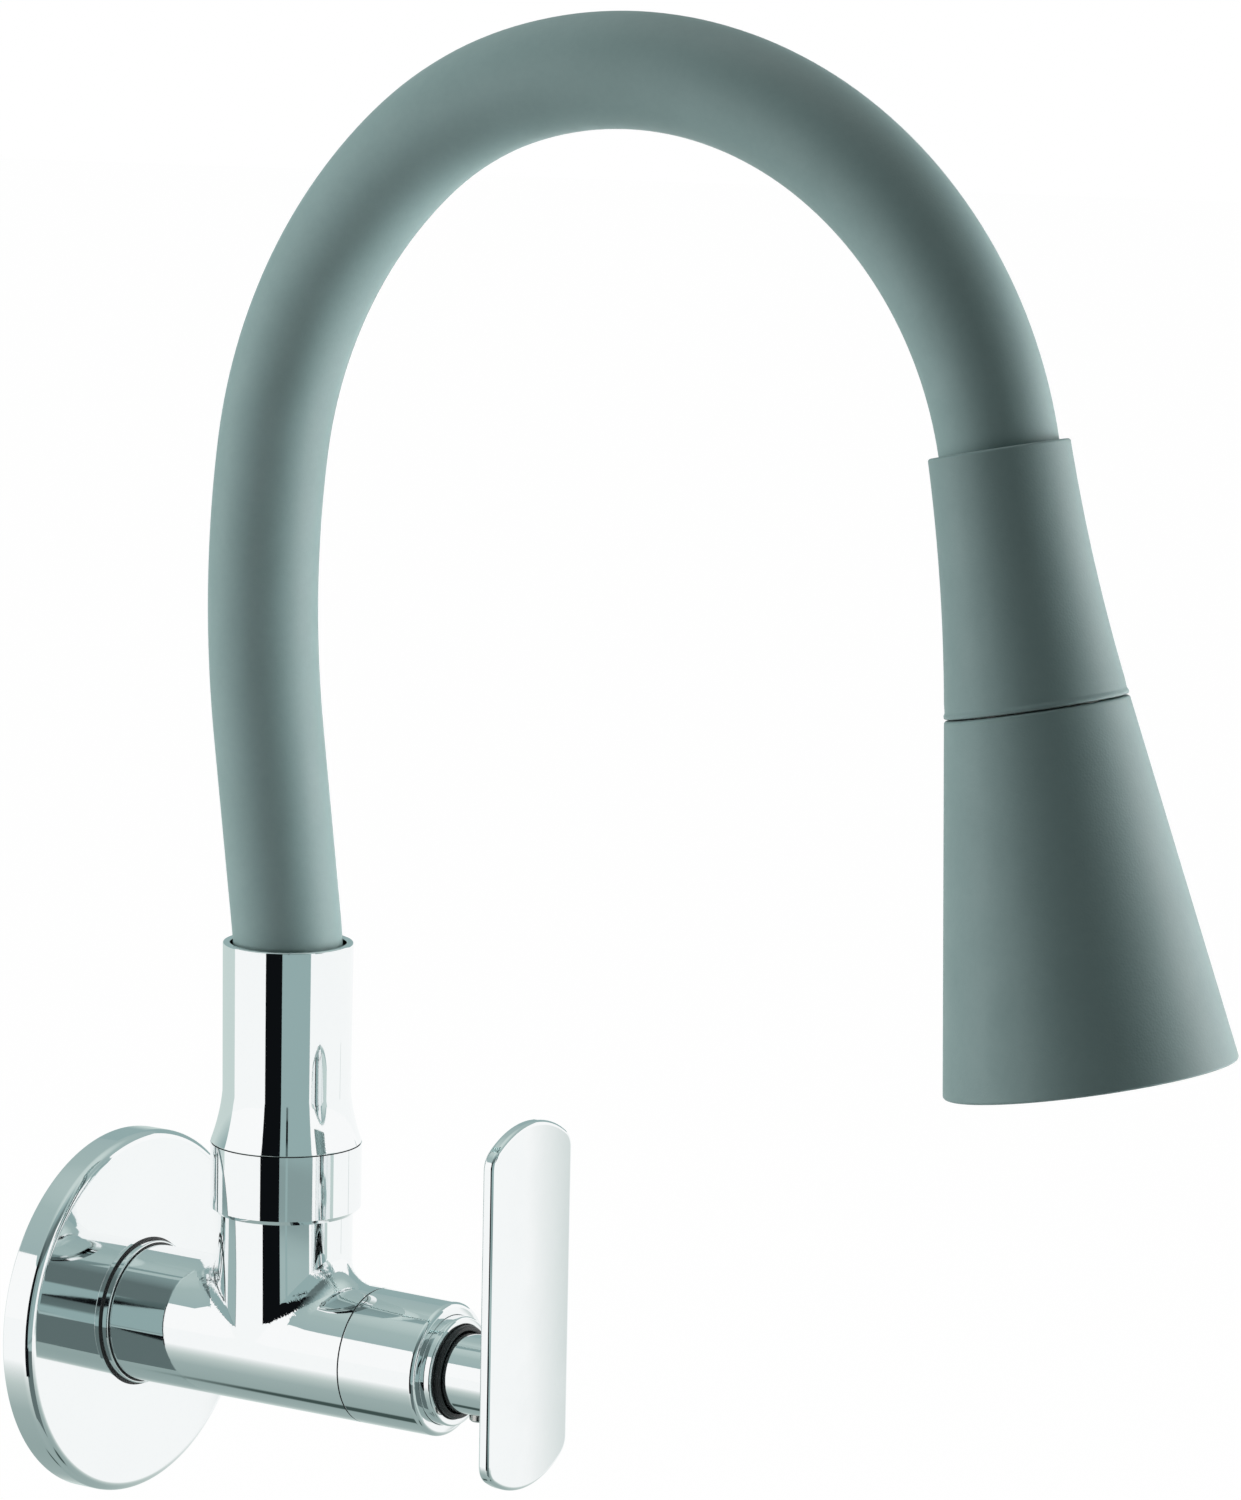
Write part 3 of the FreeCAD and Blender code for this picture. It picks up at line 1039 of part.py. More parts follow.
def hose_parts():
    """Sleeve, gooseneck and water tube of each hose segment."""
    layers = {"silicone_sleeve": (SLEEVE_DIAMETER, SLEEVE_BORE),
              "gooseneck": (GOOSENECK_DIAMETER, GOOSENECK_BORE),
              "water_tube": (TUBE_DIAMETER, TUBE_BORE)}
    sleeve_ends, inner_ends = hose_segments()
    parts = {}
    for name, (outer, inner) in layers.items():
        ends = sleeve_ends if name == "silicone_sleeve" else inner_ends
        for index, (start, end) in enumerate(zip(ends, ends[1:])):
            parts[f"{name}_{index + 1}"] = hose_layer(outer, inner, start, end)
    return parts


SINGLE_PARTS = (
    wall_flange, flange_o_ring, inlet_nipple, inlet_washer, tap_body, cartridge_housing, housing_o_ring,
    seat_seal, fixed_disc, moving_disc, spindle, spindle_o_rings, spindle_clip, cartridge_cover,
    cover_nose_ring, spindle_bush, lever_handle, handle_set_screw, swivel_washer, swivel_spigot,
    spigot_o_rings, swivel_nut, hose_collar, lower_hose_ferrule, upper_hose_ferrule, head_shell,
    head_connector, diverter_core, core_o_ring, pivot_screw, spray_cone, cone_rotor, aerator_tube,
    spray_feed_tube, spray_chamber_lid, nozzle_mat, spray_face, aerator_housing, aerator_screen)


def main():
    os.makedirs("parts", exist_ok=True)
    shapes = {make.__name__: make() for make in SINGLE_PARTS}
    shapes.update(hose_parts())
    for name, shape in shapes.items():
        shape.exportStep(f"parts/{name}.step")
        box = shape.BoundBox
        print(f"{name}: {len(shape.Solids)} solid, {shape.Volume:.1f} mm3, valid {shape.isValid()}, "
              f"y {box.YMin:.1f} to {box.YMax:.1f}, z {box.ZMin:.1f} to {box.ZMax:.1f}")
    for index, distance in enumerate(FLEX_DISTANCES):
        point, heading = route_point(distance)
        print(f"flex joint {index + 1}: y {point.y:.3f}, z {point.z:.3f}, heading {heading:.2f}")
    point, heading = route_point(HOSE_LENGTH)
    print(f"head top: y {point.y:.3f}, z {point.z:.3f}, heading {heading:.2f}, hose {HOSE_LENGTH:.1f} mm")


main()
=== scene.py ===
"""Looks of a wall-mounted kitchen tap with a bendable hose.

It holds the finishes, the detailed pieces, the light and the camera.

Every size is in metres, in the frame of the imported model: the origin is on the inlet axis at the
wall, +Z is up, the barrel runs out from the wall along -Y and the spout hangs in the plane X = 0.
"""
import logging
import math
from collections.abc import Callable, Iterable
from dataclasses import dataclass, field
from enum import Enum
from functools import lru_cache

import bmesh
import bpy
from mathutils import Matrix, Vector


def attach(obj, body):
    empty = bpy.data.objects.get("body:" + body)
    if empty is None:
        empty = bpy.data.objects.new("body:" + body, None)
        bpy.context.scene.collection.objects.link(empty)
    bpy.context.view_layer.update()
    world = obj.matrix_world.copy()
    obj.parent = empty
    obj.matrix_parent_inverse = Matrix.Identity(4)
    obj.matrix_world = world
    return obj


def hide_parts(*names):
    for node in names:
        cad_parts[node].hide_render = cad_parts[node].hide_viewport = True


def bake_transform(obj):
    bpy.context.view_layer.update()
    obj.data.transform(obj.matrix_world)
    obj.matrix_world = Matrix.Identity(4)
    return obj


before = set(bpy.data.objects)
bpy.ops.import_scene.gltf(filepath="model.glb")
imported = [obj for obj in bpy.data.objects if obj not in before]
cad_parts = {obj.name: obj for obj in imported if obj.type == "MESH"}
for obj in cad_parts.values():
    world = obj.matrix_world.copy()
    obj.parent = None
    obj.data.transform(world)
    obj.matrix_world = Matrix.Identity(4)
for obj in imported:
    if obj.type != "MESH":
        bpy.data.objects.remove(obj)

LOG = logging.getLogger("tap")
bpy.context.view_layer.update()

MM = 0.001
FULL_TURN = 2 * math.pi
MERGE_DISTANCE = 1e-7
ROUNDING = 1e-6
Colour = tuple[float, float, float]
Corner = tuple[float, float, float]
Triple = tuple[float, float, float]
Stops = tuple[tuple[float, Colour], ...]


def tone(red: int, green: int, blue: int) -> Colour:
    """Turn a screen colour into the linear colour that a shader takes.

    Args:
        red: Red from 0 to 255.
        green: Green from 0 to 255.
        blue: Blue from 0 to 255.

    Returns:
        The linear red, green and blue, from 0 to 1.
    """
    def linear(value: int) -> float:
        """Undo the screen's curve for one channel."""
        share = value / 255
        return share / 12.92 if share <= 0.04045 else ((share + 0.055) / 1.055) ** 2.4
    return linear(red), linear(green), linear(blue)


class Grain(Enum):
    """How the fine relief of a finish runs."""

    EVEN = "even"
    TURNED = "turned"
    DRAWN = "drawn"
    CELLED = "celled"


class Shader:
    """A material's node tree, with short calls to add and join nodes."""

    def __init__(self, name: str) -> None:
        """Start an empty tree.

        Args:
            name: The material's name.
        """
        self.material = bpy.data.materials.new(name)
        self.material.use_nodes = True
        self.tree = self.material.node_tree
        self.tree.nodes.clear()
        self.output = self.add("ShaderNodeOutputMaterial")

    def add(self, kind: str, **settings: object) -> bpy.types.Node:
        """Add a node.

        Args:
            kind: The node's type.
            settings: Properties of the node, or its inputs' values by name with _ for a space.

        Returns:
            The new node.
        """
        node = self.tree.nodes.new(kind)
        for key, value in settings.items():
            if hasattr(node, key):
                setattr(node, key, value)
            else:
                node.inputs[key.replace("_", " ")].default_value = value
        return node

    def join(self, source: bpy.types.NodeSocket, target: bpy.types.NodeSocket) -> None:
        """Join an output to an input."""
        self.tree.links.new(source, target)

    def place(self) -> bpy.types.NodeSocket:
        """The object coordinates, in metres."""
        return self.add("ShaderNodeTexCoord").outputs["Object"]

    def shifted_place(self, origin: Vector, scale: Triple) -> bpy.types.NodeSocket:
        """Object coordinates measured from another origin, and scaled along each axis."""
        shifted = self.add("ShaderNodeVectorMath", operation="SUBTRACT")
        self.join(self.place(), shifted.inputs[0])
        shifted.inputs[1].default_value = origin
        return self.stretched(shifted.outputs[0], scale)

    def ramp(self, share: bpy.types.NodeSocket, stops: Stops) -> bpy.types.NodeSocket:
        """A run of colours.

        Args:
            share: Position in the run, from 0 to 1.
            stops: The colours by their positions, lowest first.

        Returns:
            The colour at the position.
        """
        node = self.add("ShaderNodeValToRGB")
        elements = node.color_ramp.elements
        for element, (position, colour) in zip(elements, (stops[0], stops[-1])):
            element.position = position
            element.color = (*colour, 1)
        for position, colour in stops[1:-1]:
            elements.new(position).color = (*colour, 1)
        self.join(share, node.inputs["Fac"])
        return node.outputs["Color"]

    def noise(self, place: bpy.types.NodeSocket, size: float,
              detail: float = 3.0) -> bpy.types.NodeSocket:
        """Cloudy noise.

        Args:
            place: The coordinates it follows.
            size: Size of a cloud in metres.
            detail: Number of finer layers.

        Returns:
            The noise from 0 to 1.
        """
        cloud = self.add("ShaderNodeTexNoise", Scale=1 / size, Detail=detail)
        self.join(place, cloud.inputs["Vector"])
        return cloud.outputs["Fac"]

    def stretched(self, place: bpy.types.NodeSocket, scale: Triple) -> bpy.types.NodeSocket:
        """Coordinates stretched by a factor along each axis."""
        mapping = self.add("ShaderNodeMapping")
        mapping.inputs["Scale"].default_value = scale
        self.join(place, mapping.inputs["Vector"])
        return mapping.outputs["Vector"]

    def between(self, share: bpy.types.NodeSocket, low: float, high: float,
                start: float = 0.0, end: float = 1.0) -> bpy.types.NodeSocket:
        """Map a value's range onto another.

        Args:
            share: The value.
            low: The result at the start.
            high: The result at the end.
            start: Where the range starts.
            end: Where the range ends.

        Returns:
            The mapped value, held inside its range.
        """
        ranged = self.add("ShaderNodeMapRange", From_Min=start, From_Max=end, To_Min=low,
                          To_Max=high)
        self.join(share, ranged.inputs["Value"])
        return ranged.outputs["Result"]

    def blend(self, share: bpy.types.NodeSocket, first: Colour | bpy.types.NodeSocket,
              second: Colour) -> bpy.types.NodeSocket:
        """Mix two colours by a share.

        Args:
            share: 0 gives the first colour and 1 the second.
            first: A colour or a socket with one.
            second: The other colour.

        Returns:
            The mixed colour.
        """
        mix = self.add("ShaderNodeMix", data_type="RGBA")
        self.join(share, mix.inputs[0])
        if isinstance(first, bpy.types.NodeSocket):
            self.join(first, mix.inputs[6])
        else:
            mix.inputs[6].default_value = (*first, 1)
        mix.inputs[7].default_value = (*second, 1)
        return mix.outputs[2]

    def sum_of(self, first: bpy.types.NodeSocket, second: bpy.types.NodeSocket,
               weight: float) -> bpy.types.NodeSocket:
        """Add a weighted second value to a first one."""
        total = self.add("ShaderNodeMath", operation="MULTIPLY_ADD")
        self.join(second, total.inputs[0])
        total.inputs[1].default_value = weight
        self.join(first, total.inputs[2])
        return total.outputs[0]


GRAIN_STRETCH = {Grain.EVEN: (1.0, 1.0, 1.0), Grain.TURNED: (0.06, 1.0, 0.06),
                 Grain.DRAWN: (1.0, 0.05, 1.0)}
BROAD_TO_FINE = 9
BROAD_WEIGHT = 0.6
CLOUD_TO_SPECK = 14
SPECK_WEIGHT = 0.5
CLOUD_TO_SMUDGE = 2.3
MOTTLE_RANGE = (0.55, 1.05)
SMUDGE_RANGE = (0.35, 0.7)


@dataclass(frozen=True)
class Finish:
    """A surface finish and the detail that it shows close up.

    Sizes and depths are in metres; wear is a share of the surface that shows the worn colour.
    """

    name: str
    slot: str
    colour: Colour
    worn: Colour
    roughness: tuple[float, float]
    metallic: float = 0.0
    cloud: float = 0.012
    grain: Grain = Grain.EVEN
    grain_size: float = 0.0004
    relief: float = 0.00001
    wear: float = 0.35
    coat: float = 0.0
    sheen: float = 0.0
    specular: float = 0.5
    sheen_roughness: float = 0.5

    def relief_height(self, shader: Shader) -> bpy.types.NodeSocket:
        """The fine relief's height from 0 to 1, laid out as the grain says."""
        place = shader.place()
        if self.grain is Grain.CELLED:
            cells = shader.add("ShaderNodeTexVoronoi", Scale=1 / self.grain_size)
            shader.join(place, cells.inputs["Vector"])
            fine = cells.outputs["Distance"]
        else:
            stretched = shader.stretched(place, GRAIN_STRETCH[self.grain])
            fine = shader.noise(stretched, self.grain_size, 2.0)
        broad = shader.noise(place, self.grain_size * BROAD_TO_FINE, 2.0)
        return shader.sum_of(fine, broad, BROAD_WEIGHT)

    @lru_cache(maxsize=None)
    def material(self) -> bpy.types.Material:
        """Build the material once.

        Returns:
            The material, with colour, roughness and relief from procedural nodes.
        """
        shader = Shader(self.name)
        place = shader.place()
        surface = shader.add("ShaderNodeBsdfPrincipled", Metallic=self.metallic)
        surface.inputs["Coat Weight"].default_value = self.coat
        surface.inputs["Sheen Weight"].default_value = self.sheen
        surface.inputs["Sheen Roughness"].default_value = self.sheen_roughness
        surface.inputs["Specular IOR Level"].default_value = self.specular
        clouds = shader.noise(place, self.cloud, 4.0)
        specks = shader.noise(place, self.cloud / CLOUD_TO_SPECK, 3.0)
        mottle = shader.between(shader.sum_of(clouds, specks, SPECK_WEIGHT), 0.0, self.wear,
                                *MOTTLE_RANGE)
        colour = shader.blend(mottle, self.colour, self.worn)
        shader.join(colour, surface.inputs["Base Color"])
        smudges = shader.noise(place, self.cloud / CLOUD_TO_SMUDGE, 5.0)
        shader.join(shader.between(smudges, *self.roughness, *SMUDGE_RANGE),
                    surface.inputs["Roughness"])
        bump = shader.add("ShaderNodeBump", Strength=1.0, Distance=self.relief)
        shader.join(self.relief_height(shader), bump.inputs["Height"])
        shader.join(bump.outputs["Normal"], surface.inputs["Normal"])
        shader.join(surface.outputs["BSDF"], shader.output.inputs["Surface"])
        return shader.material


CHROME = Finish("polished_chrome", "chrome", (0.935, 0.95, 0.953), (0.90, 0.92, 0.925),
                (0.018, 0.05), metallic=1.0, cloud=0.02, grain_size=0.006, relief=0.0000012)
BRASS = Finish("machined_brass", "brass", (0.72, 0.50, 0.22), (0.52, 0.34, 0.15), (0.22, 0.38),
               metallic=1.0, grain=Grain.TURNED, grain_size=0.0003, relief=0.000012)
STEEL = Finish("drawn_steel", "stainless_steel", (0.62, 0.62, 0.60), (0.48, 0.48, 0.46),
               (0.2, 0.36), metallic=1.0, grain=Grain.DRAWN, grain_size=0.0003, relief=0.000012)
SILICONE = Finish("matte_silicone", "silicone", tone(124, 148, 147), tone(113, 137, 135),
                  (0.5, 0.62), cloud=0.018, grain_size=0.00035, relief=0.000016, wear=0.5,
                  sheen=0.06)
SOFT_TOUCH = Finish("soft_touch_plastic", "head_plastic", tone(119, 142, 141), tone(108, 131, 130),
                    (0.46, 0.58), cloud=0.02, grain=Grain.CELLED, grain_size=0.00045,
                    relief=0.000014, wear=0.5, sheen=0.06)
BLACK_PLASTIC = Finish("black_plastic", "black_plastic", (0.018, 0.019, 0.02),
                       (0.035, 0.036, 0.038), (0.3, 0.45), grain=Grain.CELLED, relief=0.000015)
RUBBER = Finish("seal_rubber", "seal_rubber", (0.02, 0.02, 0.021), (0.045, 0.045, 0.046),
                (0.55, 0.75), relief=0.00002, sheen=0.1)
CERAMIC = Finish("valve_ceramic", "disc_ceramic", (0.82, 0.80, 0.76), (0.74, 0.71, 0.66),
                 (0.12, 0.25), grain_size=0.0006, relief=0.000004, coat=0.2)
INNER_PLASTIC = Finish("moulded_acetal", "inner_plastic", (0.78, 0.78, 0.75), (0.66, 0.66, 0.62),
                       (0.35, 0.5), grain=Grain.CELLED, relief=0.000015)
FACE_PLASTIC = Finish("spray_face_plastic", "face_plastic", (0.07, 0.08, 0.082),
                      (0.11, 0.12, 0.122), (0.34, 0.5), grain=Grain.CELLED, relief=0.000018)
NOZZLE_RUBBER = Finish("nozzle_rubber", "nozzle_rubber", (0.30, 0.34, 0.345), (0.42, 0.45, 0.45),
                       (0.5, 0.66), relief=0.00002, wear=0.7, sheen=0.1)


class Piece:
    """A new mesh piece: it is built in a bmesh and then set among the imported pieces."""

    def __init__(self, name: str, finish: Finish) -> None:
        """Start an empty piece.

        Args:
            name: The piece's name.
            finish: The finish that it wears.
        """
        self.name = name
        self.finish = finish
        self.bm = bmesh.new()

    def finished(self, sharp_above: float = 0.6) -> bpy.types.Object:
        """Close the mesh and make it an object at the origin.

        Args:
            sharp_above: Edges whose faces meet at more than this angle stay crisp, in radians.

        Returns:
            The object, dressed in its finish.
        """
        bmesh.ops.remove_doubles(self.bm, verts=self.bm.verts, dist=MERGE_DISTANCE)
        bmesh.ops.recalc_face_normals(self.bm, faces=self.bm.faces)
        for face in self.bm.faces:
            face.smooth = True
        for edge in self.bm.edges:
            edge.smooth = not (edge.is_manifold and edge.calc_face_angle(0.0) > sharp_above)
        mesh = bpy.data.meshes.new(self.name)
        self.bm.to_mesh(mesh)
        self.bm.free()
        mesh.materials.append(self.finish.material())
        piece = bpy.data.objects.new(self.name, mesh)
        bpy.context.scene.collection.objects.link(piece)
        LOG.info("%s: %d faces", self.name, len(mesh.polygons))
        return piece


@dataclass(frozen=True)
class Turned:
    """A piece of revolution, drawn as a closed profile about one of the tap's axes.

    A corner is (radius, distance along the axis, easing), in millimetres; an easing of zero
    leaves the corner crisp.
    """

    name: str
    finish: Finish
    body: str
    replaced: tuple[str, ...]
    corners: tuple[Corner, ...]
    around: int = 120
    easing_steps: int = 5

    def build(self, place: Matrix) -> bpy.types.Object:
        """Ease the profile's corners, spin it and lay it along its axis.

        Args:
            place: Matrix that takes the local Z axis to the axis of the piece.

        Returns:
            The finished piece, riding on its body.
        """
        piece = Piece(self.name, self.finish)
        bm = piece.bm
        vertices = [bm.verts.new((radius * MM, 0.0, along * MM))
                    for radius, along, _ in self.corners]
        for pair in zip(vertices, vertices[1:] + vertices[:1]):
            bm.edges.new(pair)
        for vertex, (_, _, easing) in zip(vertices, self.corners):
            if easing:
                bmesh.ops.bevel(bm, geom=[vertex], offset=easing * MM, offset_type="OFFSET",
                                segments=self.easing_steps, profile=0.5, affect="VERTICES",
                                material=-1)
        bmesh.ops.spin(bm, geom=bm.verts[:] + bm.edges[:], cent=(0, 0, 0), axis=(0, 0, 1),
                       dvec=(0, 0, 0), angle=FULL_TURN, steps=self.around, use_merge=True)
        bmesh.ops.transform(bm, matrix=place, verts=bm.verts)
        turned = piece.finished()
        shading = turned.modifiers.new("flat_faces_stay_flat", "WEIGHTED_NORMAL")
        shading.keep_sharp = True
        if self.replaced:
            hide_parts(*self.replaced)
        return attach(turned, self.body)


def dress(finishes: dict[Finish, Iterable[str]]) -> None:
    """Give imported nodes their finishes.

    Args:
        finishes: The names of the nodes that wear each finish.
    """
    for finish, names in finishes.items():
        for name in names:
            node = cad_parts[name]
            if not node.material_slots:
                node.data.materials.append(None)
            for slot in node.material_slots:
                slot.material = finish.material()
            LOG.info("%s wears %s", name, finish.name)


def new_vertices(result: dict) -> list[bmesh.types.BMVert]:
    """The vertices among the geometry that an extrude gave."""
    return [item for item in result["geom"] if isinstance(item, bmesh.types.BMVert)]


def edges_among(vertices: Iterable[bmesh.types.BMVert]) -> list[bmesh.types.BMEdge]:
    """The edges that have both their ends among some vertices."""
    chosen = set(vertices)
    edges = {edge for vertex in chosen for edge in vertex.link_edges
             if edge.other_vert(vertex) in chosen}
    return sorted(edges, key=lambda edge: edge.index)


@dataclass(frozen=True)
class HoseRoute:
    """The hose's centreline: straight runs and bends in the plane X = 0.

    A step is (length or bend radius, turn in degrees); a positive turn leads away from the wall.
    """

    foot: tuple[float, float] = (-42.7 * MM, 50.0 * MM)
    steps: tuple[tuple[float, float], ...] = (
        (28.0 * MM, 0.0), (60.0 * MM, -7.2), (38.9 * MM, 0.0), (218.0 * MM, 15.1),
        (94.0 * MM, 41.8), (68.5 * MM, 24.1), (82.5 * MM, 94.85), (115.4 * MM, 0.0))

    @staticmethod
    def length(step: tuple[float, float]) -> float:
        """The length of one step along the centreline."""
        size, turn = step
        return abs(math.radians(turn)) * size if turn else size

    def at(self, distance: float) -> Matrix:
        """The frame at a distance along the route.

        Args:
            distance: How far from the foot, in metres.

        Returns:
            A matrix whose Z axis runs along the hose there.
        """
        here = Matrix.Translation((0.0, *self.foot))
        left = distance
        for step in self.steps:
            size, turn = step
            part = min(left, self.length(step))
            if part <= 0:
                break
            if turn:
                side = math.copysign(1.0, turn)
                pivot = Matrix.Translation((0.0, -side * size, 0.0))
                here = here @ pivot @ Matrix.Rotation(side * part / size, 4, "X") @ pivot.inverted()
            else:
                here = here @ Matrix.Translation((0.0, 0.0, part))
            left -= part
        return here

    def point(self, distance: float) -> Vector:
        """The centreline's point at a distance."""
        return self.at(distance).to_translation()


ROUTE = HoseRoute()
HOSE_LENGTH = sum(HoseRoute.length(step) for step in ROUTE.steps[:-1])
ALONG_BARREL = Matrix.Rotation(math.pi / 2, 4, "X")
UP_THE_NECK = Matrix.Translation((0.0, ROUTE.foot[0], 0.0))
DOWN_THE_HEAD = ROUTE.at(HOSE_LENGTH)


@dataclass(frozen=True)
class HoseStretch:
    """A stretch of hose that bends between two bodies, and the part of the route it bends in.

    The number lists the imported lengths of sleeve, gooseneck and water tube that it stands for.
    """

    name: str
    bodies: tuple[str, str]
    start: float
    end: float
    bend_start: float
    bend_end: float
    number: tuple[int, ...]


@dataclass
class BendableHose:
    """The self-supporting hose: from the outside in, silicone sleeve, gooseneck and water tube."""

    sleeve: tuple[float, float] = (11.0 * MM, 8.6 * MM)
    gooseneck: tuple[float, float] = (8.4 * MM, 7.0 * MM)
    water_tube: tuple[float, float] = (6.8 * MM, 5.2 * MM)
    around: int = 72
    sleeve_step: float = 2.4 * MM
    winding_pitch: float = 2.6 * MM
    winding_depth: float = 0.55 * MM
    winding_back: float = 0.68
    winding_rings: int = 6
    stretches: tuple[HoseStretch, ...] = (
        HoseStretch("lower", ("hose_foot", "hose_rise"), start=12.0 * MM, end=161.0 * MM,
                    bend_start=61.0 * MM, bend_end=151.0 * MM, number=(1, 2)),
        HoseStretch("middle", ("hose_rise", "hose_crown"), start=161.0 * MM, end=262.0 * MM,
                    bend_start=171.0 * MM, bend_end=261.0 * MM, number=(3,)),
        HoseStretch("upper", ("hose_crown", "head"), start=262.0 * MM, end=377.9 * MM,
                    bend_start=263.0 * MM, bend_end=353.0 * MM, number=(4,)))
    inner_foot: float = 1.6 * MM
    inner_top: float = 388.3 * MM

    def wall(self, piece: Piece, radius_at: Callable[[float], float], start: float,
             end: float, step: float) -> list[list[bmesh.types.BMVert]]:
        """Sweep a round wall along the route.

        Args:
            piece: The piece that it is part of.
            radius_at: The wall's radius at a distance along the route.
            start: Distance where it starts.
            end: Distance where it ends.
            step: Longest distance between two rings.

        Returns:
            The vertices of the first and the last ring.
        """
        bm = piece.bm
        ring = bmesh.ops.create_circle(bm, segments=self.around, radius=radius_at(start),
                                       matrix=ROUTE.at(start))["verts"]
        first = list(ring)
        count = max(1, math.ceil((end - start) / step - ROUNDING))
        here = start
        for index in range(1, count + 1):
            there = start + (end - start) * index / count
            bm.edges.index_update()
            ring = new_vertices(bmesh.ops.extrude_edge_only(bm, edges=edges_among(ring)))
            ratio = radius_at(there) / radius_at(here)
            grow = Matrix.Diagonal((ratio, ratio, 1.0, 1.0))
            move = ROUTE.at(there) @ grow @ ROUTE.at(here).inverted()
            bmesh.ops.transform(bm, matrix=move, verts=ring)
            here = there
        return [first, ring]

    def tube(self, name: str, finish: Finish, radii: tuple[float, float], start: float,
             end: float, step: float, winding: bool = False) -> bpy.types.Object:
        """Make a closed tube along a part of the route.

        Args:
            name: The piece's name.
            finish: The finish that it wears.
            radii: Outer and inner radius.
            start: Distance where it starts.
            end: Distance where it ends.
            step: Longest distance between two rings.
            winding: Whether its outside shows the turns of a wound strip.

        Returns:
            The finished tube.
        """
        outer, inner = radii

        def outside(distance: float) -> float:
            """The outer radius: a strip's back is full and its laps lie lower."""
            phase = (distance / self.winding_pitch) % 1.0
            return outer - (self.winding_depth if winding and phase > self.winding_back else 0.0)

        piece = Piece(name, finish)
        ends = self.wall(piece, outside, start, end, step)
        inner_ends = self.wall(piece, lambda _: inner, start, end, self.sleeve_step)
        for ring, inner_ring in zip(ends, inner_ends):
            bmesh.ops.bridge_loops(piece.bm, edges=edges_among(ring) + edges_among(inner_ring))
        return piece.finished()

    def build(self) -> None:
        """Make the three layers of each stretch."""
        winding_step = self.winding_pitch / self.winding_rings
        layers = (("silicone_sleeve", SILICONE, self.sleeve, self.sleeve_step, False),
                  ("gooseneck", STEEL, self.gooseneck, winding_step, True),
                  ("water_tube", INNER_PLASTIC, self.water_tube, self.sleeve_step, False))
        for node, finish, radii, step, winding in layers:
            for stretch in self.stretches:
                start, end = stretch.start, stretch.end
                if node != "silicone_sleeve":
                    start = self.inner_foot if stretch.name == "lower" else start
                    end = self.inner_top if stretch.name == "upper" else end
                tube = self.tube(f"{stretch.name}_{node}", finish, radii, start, end, step,
                                 winding)
                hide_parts(*(f"{node}_{number}" for number in stretch.number))
                ROUTE.point(stretch.bend_start)
                ROUTE.point(stretch.bend_end)
                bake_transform(tube)


@dataclass
class InletThread:
    """The threaded inlet behind the flange, with a real pipe thread on it."""

    bore: float = 7.0 * MM
    crest: float = 10.4775 * MM
    root: float = 9.3155 * MM
    pitch: float = 1.814 * MM
    shank: float = 10.2 * MM
    shank_end: float = -11.0 * MM
    thread_end: float = 14.0 * MM
    chamfer: float = 1.0 * MM
    first_turn: float = 1.4 * MM
    foot_share: float = 0.46
    crest_share: float = 0.07
    sunk_depth: float = 0.2 * MM
    turns: int = 6
    around: int = 64

    def build(self) -> None:
        """Make the nipple: a turned tube, and a helical ridge whose ends sink into it."""
        piece = Piece("inlet_pipe_thread", BRASS)
        self.core(piece.bm)
        self.ridge(piece.bm)
        nipple = piece.finished()
        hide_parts("inlet_nipple")
        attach(nipple, "base")

    def core(self, bm: bmesh.types.BMesh) -> None:
        """Turn the tube that carries the ridge."""
        profile = [(self.bore, self.shank_end), (self.shank, self.shank_end), (self.shank, 0.0),
                   (self.root, 0.0), (self.root, self.thread_end - self.chamfer / 2),
                   (self.root - self.chamfer / 2, self.thread_end), (self.bore, self.thread_end)]
        vertices = [bm.verts.new((radius, along, 0.0)) for radius, along in profile]
        edges = [bm.edges.new(pair) for pair in zip(vertices, vertices[1:] + vertices[:1])]
        bmesh.ops.spin(bm, geom=vertices + edges, cent=(0, 0, 0), axis=(0, 1, 0), dvec=(0, 0, 0),
                       angle=FULL_TURN, steps=self.around, use_merge=True)

    def ridge(self, bm: bmesh.types.BMesh) -> None:
        """Wind the thread's ridge round the tube and sink its ends into it."""
        sunk = self.root - self.sunk_depth
        half_foot, half_crest = self.pitch * self.foot_share, self.pitch * self.crest_share
        profile = [(sunk, -half_foot), (self.root, -half_foot), (self.crest, -half_crest),
                   (self.crest, half_crest), (self.root, half_foot), (sunk, half_foot)]
        vertices = [bm.verts.new((radius, self.first_turn + along, 0.0))
                    for radius, along in profile]
        face = bm.faces.new(vertices)
        count = self.turns * self.around
        result = bmesh.ops.spin(bm, geom=[face], cent=(0, 0, 0), axis=(0, 1, 0),
                                dvec=(0, self.pitch / self.around, 0),
                                angle=FULL_TURN * self.turns, steps=count, use_merge=False)
        last = [item for item in result["geom_last"] if isinstance(item, bmesh.types.BMVert)]
        self.sink(bm, vertices, sunk)
        self.sink(bm, last, sunk)

    def sink(self, bm: bmesh.types.BMesh, end: list[bmesh.types.BMVert], sunk: float) -> None:
        """Scale the ridge's end section down into the tube.

        Args:
            bm: The mesh.
            end: The vertices of the section.
            sunk: Radius that the section sinks to.
        """
        for vertex in end:
            radius = math.hypot(vertex.co.x, vertex.co.z)
            bmesh.ops.scale(bm, verts=[vertex], vec=(sunk / radius, 1.0, sunk / radius))


